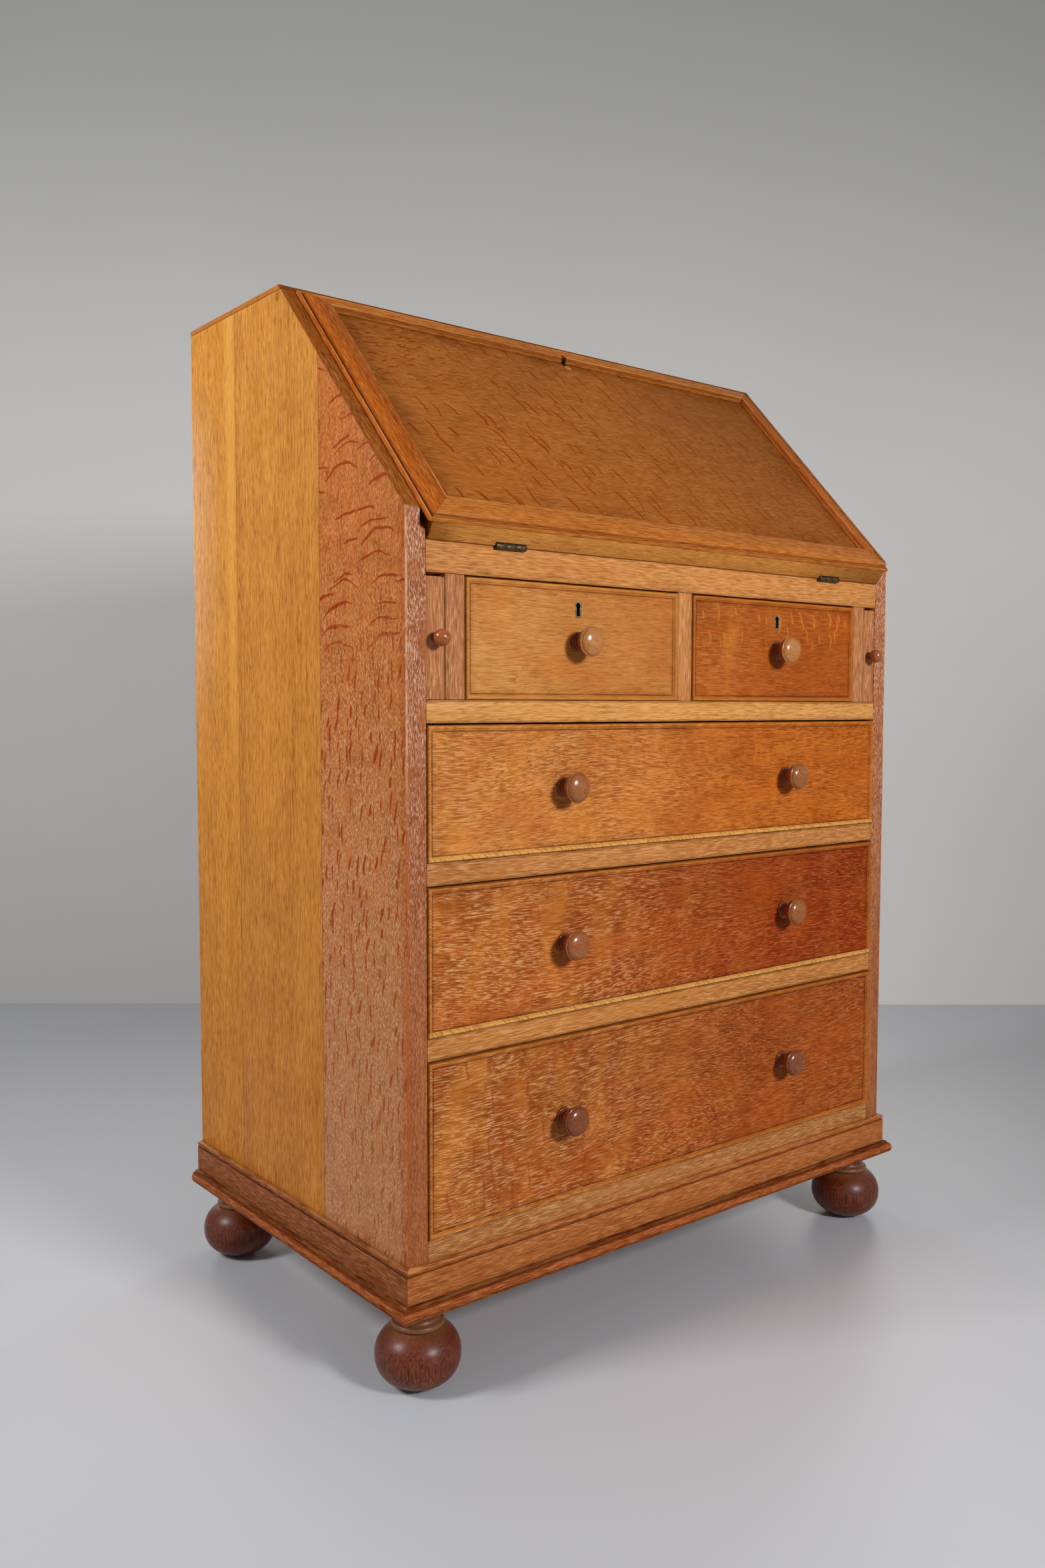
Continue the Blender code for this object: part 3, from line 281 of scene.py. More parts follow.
def make_oak():
    """Oak seen along its grain, which runs along the vector's x: growth bands, dark pores, limed pores,
    and where it has blocks, figure that breaks the grain into upright bars."""
    inputs = {
        **dict.fromkeys(Tone._fields, WHITE),
        "wander": 0.004, "streaks": 1.0, "pores": 0.6, "lime": 0.0, "blocks": 0.0,
    }
    g, given, made = new_group("oak", inputs, {"colour": WHITE})
    whole, blocks = given["vector"], given["blocks"]
    drift = g.times(g.swing(whole, GRAIN_DRIFT), given["wander"], DRIFT_SCALE)
    ragged = g.times(g.noise(whole, BAR_EDGES), BAR_RAG)
    bar = g.math("FLOOR", g.plus(g.times(g.parts(whole)[0], BARS_PER_M), ragged))
    chance = g.times(g.add("TexWhiteNoise", {"W": bar}, noise_dimensions="1D").outputs["Value"], blocks)
    place = g.vectors("ADD", whole, g.vector(0.0, g.plus(drift, g.times(chance, BAR_SLIP)), drift))
    patch = g.swing(whole, PATCHES)
    figure = g.times(g.less(chance, g.times(blocks, 0.5)), g.ramp(patch, *FIGURE_LEVELS), FIGURE_SHARE)
    broad = g.times(g.swing(place, BROAD_BANDS), BROAD_SHARE)
    narrow = g.times(g.swing(place, NARROW_BANDS), NARROW_SHARE)
    dashes = g.noise(place, DASHES)
    fine = g.times(g.less(dashes, 0.5), DASH_SHARE)
    bands = g.plus(patch, broad, narrow, fine, figure)
    level = g.math("ADD", g.times(bands, given["streaks"]), 0.5, clamp=True)
    colour = g.blend(level, given["deep"], given["pale"])
    pores = g.times(g.fade(dashes, *PORE_LEVELS), given["pores"])
    colour = g.blend(pores, colour, PORE_STAIN, "MULTIPLY")
    where = g.ramp(g.noise(place, LIMED_PLACES), *LIMED_PLACE_LEVELS)
    limed = g.times(g.ramp(dashes, *LIMED_LEVELS), where, given["lime"])
    g.tree.links.new(g.blend(limed, colour, given["limed"]), made)
    return g.tree


BEND_REACH = 0.016  # how far a stroke is bent, in metres
BOW_RANGE, LENGTH_RANGE, WIDTH_RANGE = (0.4, 1.6), (0.35, 1.0), (0.6, 1.4)  # from stroke to stroke
STROKE_CORE, STROKE_BLUR = 0.45, 0.002


def make_flecks():
    """Rays cut through: one tapered, bowed stroke in each cell of a scatter, some cells left empty."""
    g, given, made = new_group("flecks", dict.fromkeys(Strokes._fields, 0.0), {"mask": 0.0})
    along, across, _ = g.parts(given["vector"])
    bend = g.times(g.swing(given["vector"], STROKE_BENDS), BEND_REACH)
    across = g.plus(across, g.times(along, given["slant"]), bend)
    flat = g.vector(g.times(along, given["per_along"]), g.times(across, given["per_across"]), 0.0)
    cells = g.add("TexVoronoi", {"Vector": flat, "Scale": 1.0}, voronoi_dimensions="2D").outputs
    run, off, _ = g.parts(g.vectors("SUBTRACT", flat, cells["Position"]))
    chance, vary, tilt = g.add("SeparateColor", {0: cells["Color"]}).outputs
    off = g.plus(off, g.times(run, g.less(tilt, 0.5), given["lean"]))
    square = g.times(run, run)
    bow = g.times(square, given["bow"], g.between(vary, *BOW_RANGE))
    off = g.math("ABSOLUTE", g.plus(off, bow))
    reach = g.times(given["length"], g.between(vary, *LENGTH_RANGE))
    taper = g.math("SUBTRACT", 1.0, g.math("DIVIDE", square, g.times(reach, reach)), clamp=True)
    half = g.times(given["width"], g.between(tilt, *WIDTH_RANGE), g.math("SQRT", taper))
    stroke = g.fade(off, g.times(half, STROKE_CORE), g.plus(half, STROKE_BLUR))
    kept = g.times(g.math("LESS_THAN", chance, given["cover"]), g.above(taper, 0.0))
    g.tree.links.new(g.times(stroke, kept), made)
    return g.tree


OAK = make_oak()
FLECKS = make_flecks()
SEED_SHARES = (1.37, 0.71, 0.53)  # moves of a piece's grain, so that no two pieces show the same wood
BUMP_STRENGTH = 0.6
OAK_BUMP, BRASS_BUMP = 0.0003, 0.0001
GLOSS_LEVELS, GLOSS_SWING = (0.02, 0.5), 0.08  # brightness over which the gloss changes, and how much


class Paint(Graph):
    """A material while it is built up, layer on layer.

    A point's place is x, y and z of the row frame, and a along and n out of the closed fall."""

    def __init__(self, node, prefix=""):
        self.node = node
        self.material = bpy.data.materials.new(prefix + node)
        self.material.use_nodes = True
        super().__init__(self.material.node_tree)
        self.tree.nodes.clear()
        coordinates = self.add("TexCoord").outputs
        self.here = coordinates["Object"]
        self.x, self.y, self.z = self.parts(self.here)
        self.normal_x = self.parts(coordinates["Normal"])[0]
        from_pivot = self.vectors("ADD", self.here, tuple(-PIVOT))
        self.a = self.vectors("DOT_PRODUCT", from_pivot, tuple(FALL_UP), "Value")
        self.n = self.vectors("DOT_PRODUCT", from_pivot, tuple(FALL_OUT), "Value")

    def oak(self, wood, along, across, through=0.0, **figure):
        """The first layer: oak with its grain along the first place."""
        seed = 1.0 + sorted(NODES).index(self.node)
        places = zip((along, across, through), SEED_SHARES)
        self.grain = self.vector(*(self.plus(place, seed * share) for place, share in places))
        inputs = {"vector": self.grain, **wood._asdict(), **figure}
        self.colour = self.add("Group", inputs, node_tree=OAK).outputs[0]

    def lay(self, over, *shares, how="MIX"):
        """A layer of another colour, as far as its shares go."""
        self.colour = self.blend(self.times(*shares), self.colour, over, how)

    def stain(self, by, *shares):
        """A layer that multiplies the colour."""
        self.lay(by, *shares, how="MULTIPLY")

    # darkens with grime: dirt and dark joints in some places, painted shade in creases, gaps and under things in
    # others
    def soil_and_shade(self, *shares):
        self.stain(GRIME_AND_SHADE, *shares)

    def close(self, rough, shine, height=None, depth=OAK_BUMP, metal=0.0, coat=0.0, coat_rough=0.3):
        """The finished material: its gloss, and a bump that follows its height."""
        inputs = {"Base Color": self.colour, "Roughness": rough, "Metallic": metal}
        inputs["Specular IOR Level"] = shine
        if coat:
            inputs.update({"Coat Weight": coat, "Coat Roughness": coat_rough})
        if height is not None:
            bump = self.add("Bump", {"Strength": BUMP_STRENGTH, "Distance": depth, "Height": height})
            inputs["Normal"] = bump.outputs[0]
        self.add("OutputMaterial", {0: self.add("BsdfPrincipled", inputs).outputs[0]})
        return self.material

    def close_oak(self, rough=0.45, shine=0.06, **polish):
        """Wax-polished oak: the pores and flecks of its colour also give the bump and the gloss."""
        level = self.add("RGBToBW", {0: self.colour}).outputs[0]
        gloss = self.ramp(level, *GLOSS_LEVELS, rough + GLOSS_SWING, rough - GLOSS_SWING)
        return self.close(gloss, shine, level, **polish)


# Soft arrises

SMOOTH_ANGLE, ARRIS_ANGLE, FLAT_ANGLE = math.radians(35), math.radians(50), math.radians(0.5)
WELD_REACH = 0.00002
ARRIS_STEPS = 2


def make_smoother():
    """Geometry nodes that drop the imported normals and smooth every edge flatter than SMOOTH_ANGLE."""
    tree = bpy.data.node_groups.new("smooth_by_angle", "GeometryNodeTree")
    for way in ("INPUT", "OUTPUT"):
        tree.interface.new_socket(name="Geometry", in_out=way, socket_type="NodeSocketGeometry")
    g = Graph(tree)
    given = g.add("NodeGroupInput").outputs[0]
    plain = g.add("GeometryNodeRemoveAttribute", {"Geometry": given, "Name": "custom_normal"}).outputs[0]
    faces = g.add("GeometryNodeSetShadeSmooth", {"Geometry": plain}, domain="FACE").outputs[0]
    angle = g.add("GeometryNodeInputMeshEdgeAngle").outputs[0]
    flat = g.add("FunctionNodeCompare", {0: angle, 1: SMOOTH_ANGLE}, operation="LESS_THAN").outputs[0]
    edges = g.add("GeometryNodeSetShadeSmooth", {"Geometry": faces, "Shade Smooth": flat}, domain="EDGE")
    g.add("NodeGroupOutput", {0: edges.outputs[0]})
    return tree


SMOOTHER = make_smoother()


def smooth(obj):
    obj.modifiers.new("smooth", "NODES").node_group = SMOOTHER


def dress(node, material, soft=SOFT_EDGE):
    """Gives a CAD node its material in its own slot, joins its split faces and rounds its arrises."""
    obj = NODES[node]
    slot = obj.material_slots[0]
    slot.link = "OBJECT"
    slot.material = material
    if not soft:
        return
    obj.modifiers.new("weld", "WELD").merge_threshold = WELD_REACH
    planes = obj.modifiers.new("planes", "DECIMATE")
    planes.decimate_type = "DISSOLVE"
    planes.angle_limit = FLAT_ANGLE
    bevel = obj.modifiers.new("arris", "BEVEL")
    bevel.width = soft
    bevel.segments = ARRIS_STEPS
    bevel.limit_method = "ANGLE"
    bevel.angle_limit = ARRIS_ANGLE
    smooth(obj)


# Oak tones
SIDE_BACK_TONE = tone(206, 137, 52)
SIDE_MIDDLE_TONE = tone(200, 133, 57)
SIDE_FRONT_TONE = tone(186, 106, 46, lime=(222, 178, 136))
STILE_TONE = tone(163, 96, 55, lime=(214, 174, 150))
SLOPE_EDGE_TONE = tone(143, 77, 23)
LID_TONE = tone(160, 92, 36)
LID_FOOT_TONE = tone(186, 123, 56)
FALL_INSIDE_TONE = tone(170, 104, 46)
MOULD_TONE = tone(179, 104, 39)
MOULD_END_TONE = tone(167, 84, 18)
INSIDE_TONE = tone(186, 130, 70)
POST_TONE = tone(174, 111, 71)
MIDDLE_POST_TONE = tone(190, 125, 71)
PLINTH_TONE = tone(174, 100, 48)
PLINTH_SIDE_TONE = tone(138, 75, 39)
BASE_TONE = tone(154, 79, 35, spread=0.5)
TOP_TONE = tone(182, 112, 48)
BACK_TONE = tone(150, 98, 50)
FOOT_TONE = tone(98, 37, 9, spread=0.4, lime=(160, 108, 66))
KNOB_BOWL_TONE = tone(150, 68, 24)
# darker for the lower rows: partly painted shade, as less light reaches them
KNOB_TONES = {
    "small": tone(178, 114, 56), "upper": tone(147, 83, 31), "middle": tone(147, 80, 28),
    "lower": tone(121, 57, 13), "loper": tone(150, 78, 30),
}

# Colours laid over the oak
SIDE_STREAK = srgb(236, 178, 84)
SIDE_WORN = srgb(222, 170, 130)
SIDE_VIVID = srgb(188, 92, 36)
SIDE_HAZE = srgb(192, 142, 104)
RAY_RED = srgb(150, 52, 6)
RAY_PALE = srgb(224, 142, 54)
RUDDY = srgb(172, 76, 18)
# painted highlight: the pale of the drawers' bottom beads, as if reflecting the light
ROPE_HIGHLIGHT = srgb(232, 174, 94)
CHIP_PALE = srgb(200, 138, 86)
LID_RAY = srgb(138, 56, 10)
FOOT_DUST = srgb(150, 112, 76)
WORN = srgb(224, 160, 92)

# Stains, and painted shade, which multiply it
GRIME_AND_SHADE = (0.26, 0.17, 0.11, 1.0)
KEYHOLE_SHADE = (0.05, 0.04, 0.03, 1.0)
SIDE_FOOT_SHADE = (0.88, 0.70, 0.52, 1.0)
SIDE_STRIP_STAIN = (0.86, 0.60, 0.40, 1.0)
ROPE_STAIN = (0.66, 0.50, 0.34, 1.0)

# Brass, dark and light
PLATE_BRASS = (srgb(58, 48, 36), srgb(104, 86, 58))
THREAD_BRASS = (srgb(92, 88, 60), srgb(134, 126, 90))
SCREW_BRASS = (srgb(74, 60, 38), srgb(140, 114, 70))


def fall_span(node):
    """Lowest and highest place of a node along the fall and out of it."""
    places = [vert.co - PIVOT for vert in NODES[node].data.vertices]
    along = [place.dot(FALL_UP) for place in places]
    out = [place.dot(FALL_OUT) for place in places]
    return min(along), max(along), min(out), max(out)


# Sides: glue lines between the three boards in y, a plugged peg in y and z, and marks on them
SIDE_JOINTS = (-0.0535, 0.120)
JOINT_LINE = Mark(0.0003, 0.0009, 0.5)
PLUG_PLACE, PLUG_R = (0.0254, 1.030), 0.0036
PLUG_FILL, PLUG_RIM = Mark(PLUG_R - 0.0004, PLUG_R, 0.3), Mark(0.0002, 0.0007, 0.5)
BACK_SHIFT, FRONT_SHIFT = 0.31, 0.67  # of the boards' grain
SIDE_STRETCH, STILE_STRETCH, FRONT_STRETCH = 1.2, 3.0, 3.8  # of the grain, which shortens its dashes
STILE_CROWD, FRONT_CROWD = 1.8, 1.15
SIDE_STREAKS, FRONT_STREAKS = 0.65, 0.9
SIDE_LIME = 0.15  # limed share at the foot of every board
FRONT_LIME_DOWN, FRONT_LIME = (0.0, 0.8), (0.16, 0.75)
STILE_LIME_Z, STILE_LIME = (0.2, 0.75), (0.05, 1.0)
STREAK_OFF, STREAK, STREAK_Z = 0.013, Mark(0.002, 0.016, 0.5), (0.3, 0.9)
HILLS_Z, DROPS_LOST = (0.62, 0.73), 0.65  # bold rays, and the share of short ones missing there
RAYS_Z, RAYS_SHARE = (0.15, 0.5), (0.55, 0.9)
HAZE = Mark(0.15, 0.80, 0.4)
STRIP, SIDE_FOOT_SHADE_SHARE = Mark(0.006, 0.014, 0.6), 0.55
ARRIS_REACH, ARRIS_SHARE, RUBBED_Z = (0.0009, 0.0020), (0.3, 0.8), (0.5, 0.6)


def paint_side(node):
    """Three glued boards with upright grain, the front one redder, with bold flecks and limed pores."""
    g = Paint(node)
    low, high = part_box(node)
    front_joint, back_joint = SIDE_JOINTS
    is_front = g.fade(g.y, front_joint - HAIR, front_joint + HAIR)
    is_back = g.ramp(g.y, back_joint - HAIR, back_joint + HAIR)
    is_stile = g.fade(g.y, low.y + SKIN, low.y + 2 * SKIN)
    rise = fall_span(node)[3]
    is_slope = g.ramp(g.n, rise - 2 * SKIN, rise - SKIN)
    is_flat = g.rest(g.highest(is_stile, is_slope))
    broken = g.times(is_front, is_flat)
    wood = g.pick(is_back, SIDE_MIDDLE_TONE, SIDE_BACK_TONE)
    for share, other in ((is_front, SIDE_FRONT_TONE), (is_slope, SLOPE_EDGE_TONE), (is_stile, STILE_TONE)):
        wood = g.pick(share, wood, other)
    downward = g.ramp(g.z, low.z, high.z, 1.0, 0.0)
    front_lime = g.times(is_front, g.ramp(downward, *FRONT_LIME_DOWN, *FRONT_LIME))
    lime = g.plus(g.times(downward, SIDE_LIME), front_lime)
    lime = g.choose(is_stile, lime, g.ramp(g.z, *STILE_LIME_Z, *STILE_LIME))
    stretch = g.choose(broken, g.choose(is_stile, SIDE_STRETCH, STILE_STRETCH), FRONT_STRETCH)
    crowd = g.choose(is_stile, g.choose(broken, 1.0, FRONT_CROWD), STILE_CROWD)
    along = g.times(g.choose(is_slope, g.z, g.a), stretch)
    across = g.plus(g.y, g.x, g.times(is_back, BACK_SHIFT), g.times(is_front, FRONT_SHIFT))
    across = g.times(g.choose(is_slope, across, g.x), crowd)
    streaks = g.choose(is_front, SIDE_STREAKS, FRONT_STREAKS)
    g.oak(wood, along, across, streaks=streaks, pores=0.4, lime=lime)
    g.lay(SIDE_STREAK, g.mark(g.off(g.y, back_joint + STREAK_OFF), STREAK), g.ramp(g.z, *STREAK_Z))
    g.lay(SIDE_HAZE, g.mark(g.z, HAZE), broken)
    upper = g.ramp(g.z, *HILLS_Z)
    hills = g.times(g.flecks(g.y, g.z, SIDE_HILLS), upper)
    drops = g.times(g.flecks(g.z, g.y, SIDE_DROPS), g.rest(g.times(upper, DROPS_LOST)))
    g.lay(RAY_RED, g.plus(hills, drops), broken, g.ramp(g.z, *RAYS_Z, *RAYS_SHARE))
    # painted shade: the back and middle boards darker towards the foot, as the light falls off downwards
    g.stain(SIDE_FOOT_SHADE, downward, g.rest(is_front), SIDE_FOOT_SHADE_SHARE)
    g.stain(SIDE_STRIP_STAIN, g.mark(g.less(g.y, low.y), STRIP), is_flat)
    for joint in SIDE_JOINTS:
        g.soil_and_shade(g.mark(g.off(g.y, joint), JOINT_LINE))
    off_plug = g.math("SQRT", g.oval(g.y, g.z, PLUG_PLACE, (1.0, 1.0)))
    g.soil_and_shade(g.mark(off_plug, PLUG_FILL))
    g.soil_and_shade(g.mark(g.off(off_plug, PLUG_R), PLUG_RIM))
    rub = g.ramp(g.noise(g.grain, RUBBING), *SHARP_SPLIT)
    inward = g.less(max(-low.x, high.x), g.math("ABSOLUTE", g.x))
    arris = g.fade(g.plus(g.less(g.y, low.y), inward), *ARRIS_REACH)
    rubbed = g.blend(g.ramp(g.z, *RUBBED_Z), SIDE_VIVID, SIDE_WORN)
    g.lay(rubbed, arris, g.between(rub, *ARRIS_SHARE))
    dress(node, g.close_oak())


FACING = 0.006  # strip on the end of a loper
SIDEWAYS = 0.7  # share of a face's normal along x from which it counts as sideways
# dark at a board's edges and in its grooves is partly painted shade of gaps and creases, partly dirt
EDGE_DIRT_AND_SHADE, EDGE_WEAR = (0.0005, 0.003), (0.0004, 0.0014)
LINE_CORE = 0.3  # share of a dirt line's reach that is full


def board_axes(g, axis, low, high):
    """Places along and across a board's grain.

    The grain runs along x, y or z. On a carcase it turns to y on boards that face sideways, on a
    faced board it stands upright in the facing and runs back behind it, and it follows a mitred edge."""
    axes = {
        "x": (g.x, g.plus(g.z, g.y)), "y": (g.y, g.plus(g.z, g.x)), "z": (g.z, g.plus(g.x, g.y)),
    }
    if axis in axes:
        return axes[axis]
    if axis == "carcase":
        turn = g.above(g.math("ABSOLUTE", g.normal_x), SIDEWAYS)
        pairs = zip(axes["x"], (g.y, g.z))
    elif axis == "faced":
        turn = g.above(g.y, low.y + FACING)
        pairs = zip(axes["z"], axes["y"])
    else:
        turn = g.above(g.less(g.y, low.y), g.within(g.x, low.x, high.x))
        pairs = zip(axes["x"], axes["y"])
    return [g.choose(turn, one, other) for one, other in pairs]


def paint_board(node, wood, axis, lime=0.0, rough=0.48, soft=SOFT_EDGE, wear=0.0, dirt_and_shade=0.0, lines=()):
    """A plain board, grain along one axis, worn at its arrises, with painted shade and dirt in its grooves.

    Each line is a height below the board's top, how far its darkening reaches, and how dark it is."""
    g = Paint(node)
    low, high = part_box(node)
    g.oak(wood, *board_axes(g, axis, low, high), streaks=0.5, pores=0.3, lime=lime)
    for drop, reach, share in lines:
        g.soil_and_shade(g.fade(g.off(g.z, high.z - drop), reach * LINE_CORE, reach), share)
    if wear or dirt_and_shade:
        edge = g.within(g.z, low.z, high.z)
        if axis in ("z", "faced"):
            edge = g.plus(g.within(g.x, low.x, high.x), g.above(g.y, low.y + FACING))
        # painted shade and dirt along the board's edges, in the gaps beside drawers and lopers
        g.soil_and_shade(g.fade(edge, *EDGE_DIRT_AND_SHADE), dirt_and_shade)
        g.lay(WORN, g.fade(edge, *EDGE_WEAR), g.ramp(g.noise(g.grain, BOARD_WEAR), *SHARP_SPLIT), wear)
    dress(node, g.close_oak(rough), soft)


# Drawer fronts: tones at their left and right, and shares of limed pores, figure, curls, red rays and rope
Front = namedtuple("Front", "left right lime blocks curl red_rays rope", defaults=(0.0, 0.0, 0.0))
# the lower fronts' darker tones are partly painted shade, as the light falls off downwards
FRONTS = {
    "small_left": Front(tone(195, 133, 70), tone(184, 115, 53), 0.25, 0.1),
    "small_right": Front(tone(170, 90, 33), tone(161, 78, 24), 0.15, 0.3, curl=0.4),
    "upper": Front(tone(193, 122, 60), tone(176, 91, 26), 0.55, 0.9, curl=0.2, rope=0.8),
    "middle": Front(tone(175, 97, 42), tone(140, 52, 10), 0.68, 1.0, red_rays=0.2, rope=0.8),
    "lower": Front(tone(164, 90, 38), tone(155, 74, 26), 0.78, 1.0, red_rays=0.5),
}
BEAD_W, QUIRK_W = 0.0058, 0.0007  # bead round a front, and the groove inside it
REDDENING = 0.8  # share of a front over which its colour turns red
RIGHT_LIME = 0.22  # share of the limed pores left at its right end
PLAIN_FRONT = {"wander": 0.004, "streaks": 0.4, "pores": 0.22}
FIGURED = {"wander": 0.01, "streaks": 0.6, "pores": 0.18}  # what full figure adds
FLAME_LEVELS, FLAME_SHARES = (0.44, 0.64), (0.3, 0.06)
CLOUD_SHIFT, CLOUD_LEVELS, CLOUD_SHARE = (5.0, 0.0, 0.0), (0.48, 0.64), 0.28
CURL_LOW, CURL_HIGH = 0.01, 0.03  # curls start below the middle, and are full below the top
BEAD_SHARE = 0.32
ROPE_W = (BEAD_W * 0.8, BEAD_W * 0.9)
# painted shade in the groove inside a bead and in the gap round a front; the smear is dirt
GROOVE_SHADE, GAP_SHADOW = Mark(0.0004, 0.0012, 0.6), Mark(0.0005, 0.0013, 0.6)
SMEAR = Mark(0.001, 0.006, 0.22)
KNOB_REACH = 0.0270  # drawer knob out of its front
KEYHOLE_R, KEYHOLE_SLOT_W, KEYHOLE_H = 0.0029, 0.0042, 0.0128
KEYHOLE_RISE = 0.0313  # keyhole above a small drawer's knob
KEYHOLE_EDGE, KEYHOLE_DEPTH = (0.0003, 0.0005), (0.0002, 0.0008)
DRAWER_SOFT, BOX_SOFT = 0.0003, 0.0004


def keyhole_place(drawer):
    """Centre of a small drawer's keyhole, on the drawer's face."""
    low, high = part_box(f"drawer_{drawer}_knob")
    return Vector(((low.x + high.x) / 2, low.y + KNOB_REACH, (low.z + high.z) / 2 + KEYHOLE_RISE))


def paint_drawer_front(drawer, front):
    """A drawer front: grain across, a lighter bead, painted shade in its groove and gap, rays, limed pores."""
    node = f"drawer_{drawer}_front"
    g = Paint(node)
    low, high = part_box(node)
    rightward = g.ramp(g.x, low.x, low.x + REDDENING * (high.x - low.x))
    edge = g.nearest(g.within(g.x, low.x, high.x), g.within(g.z, low.z, high.z))
    bead = g.fade(edge, BEAD_W - QUIRK_W, BEAD_W - 0.5 * QUIRK_W)
    field = g.rest(bead)
    wood = g.pick(rightward, front.left, front.right)
    limed = g.times(g.ramp(rightward, 0.0, 1.0, 1.0, RIGHT_LIME), front.lime)
    figure = {key: plain + FIGURED[key] * front.blocks for key, plain in PLAIN_FRONT.items()}
    g.oak(wood, g.x, g.plus(g.z, g.y), lime=limed, blocks=front.blocks, **figure)
    flame = g.ramp(g.noise(g.grain, FLAMES), *FLAME_LEVELS)
    g.lay(RAY_PALE, flame, g.ramp(rightward, 0.0, 1.0, *FLAME_SHARES), field)
    clouds = g.noise(g.vectors("ADD", g.grain, CLOUD_SHIFT), RED_CLOUDS)
    g.lay(RUDDY, g.ramp(clouds, *CLOUD_LEVELS), CLOUD_SHARE, field)
    if front.curl:
        upper = g.ramp(g.z, (low.z + high.z) / 2 - CURL_LOW, high.z - CURL_HIGH)
        g.lay(RAY_PALE, g.flecks(g.z, g.x, DRAWER_CURLS), upper, front.curl, field)
    if front.red_rays:
        g.lay(RAY_RED, g.flecks(g.z, g.x, DRAWER_REDS), front.red_rays, g.rest(rightward), field)
    g.lay(RAY_PALE, bead, BEAD_SHARE)
    # painted highlight on the bottom bead, crossed by dark rays of its grain
    if front.rope:
        below = g.times(g.fade(g.less(g.z, low.z), *ROPE_W), front.rope)
        g.lay(ROPE_HIGHLIGHT, below)
        g.stain(ROPE_STAIN, below, g.flecks(g.x, g.z, ROPE_STRANDS))
    # painted shade in the groove and the gap, and dirt smeared in from the bead
    groove = g.highest(g.mark(g.off(edge, BEAD_W - 0.3 * QUIRK_W), GROOVE_SHADE), g.mark(edge, GAP_SHADOW))
    dirt = g.ramp(g.noise(g.grain, RUBBING), *SOFT_SPLIT)
    g.soil_and_shade(g.plus(groove, g.times(g.mark(g.off(edge, BEAD_W), SMEAR), dirt)))
    if "small" in drawer:
        hole = keyhole_place(drawer)
        across = g.fade(g.off(g.x, hole.x), *(KEYHOLE_R + past for past in KEYHOLE_EDGE))
        up = g.fade(g.off(g.z, hole.z), *(KEYHOLE_H / 2 + past for past in KEYHOLE_EDGE))
        # painted shade inside the keyhole, darker deeper in
        g.stain(KEYHOLE_SHADE, across, up, g.ramp(g.less(g.y, hole.y), *KEYHOLE_DEPTH))
    dress(node, g.close_oak(), DRAWER_SOFT)


# The fall: its lid, and mouldings, whose painted shade and dirt, and wear, lie so far from their outer edge
FOOT_BEVEL = math.radians(12.7)  # underside of the lid
FALL_ROUGH, LID_SHINE = 0.38, 0.02
CORNER_X, CORNER_A = (-0.24, -0.10), (0.17, 0.24)  # upper left corner of the lid, with finer rays
LID_RAY_SHARES = (0.95, 0.5)  # at the left and the right
LID_EDGE_SHADE, LID_SMEAR = Mark(0.0006, 0.004, 0.6), Mark(0.003, 0.03, 0.35)
CHIP_PLACE, CHIP_SIZE = (0.0030, 0.0085), (0.0060, 0.0034)  # chip below the lid's keyhole
CHIP, CHIP_RAG = Mark(0.6, 1.1, 0.8), 3.0
SMOKE_LEFT, SMOKE_RIGHT, SMOKE_SHARE = (-0.325, -0.28), (0.12, 0.32), 0.6  # dark ends of the underside
RIGHT_SHADE = 0.32
QUIRK, CROWN = 0.0041, 0.0272  # a moulding's groove, and the edge of its crown
MOULD_SHADE_AND_DIRT = ((QUIRK, Mark(0.0004, 0.0020, 0.6)), (CROWN + 0.0009, Mark(0.0004, 0.0018, 0.6)))
MOULD_WORN = ((QUIRK * 0.45, Mark(0.0003, 0.0011, 0.65)), (CROWN - 0.0012, Mark(0.0003, 0.0014, 0.65)))
# painted shade inside the keyhole of the top moulding, reaching a little round it
LID_KEYHOLE_SHADE_PLACE, LID_KEYHOLE_SHADE_SIZE = (0.0, 0.3160), (0.0042, 0.0072)  # dark worn place round that keyhole
LID_KEYHOLE_SHADE = Mark(0.6, 1.0, 0.9)
LID_SOFT, MOULD_SOFT = 0.0004, 0.0002


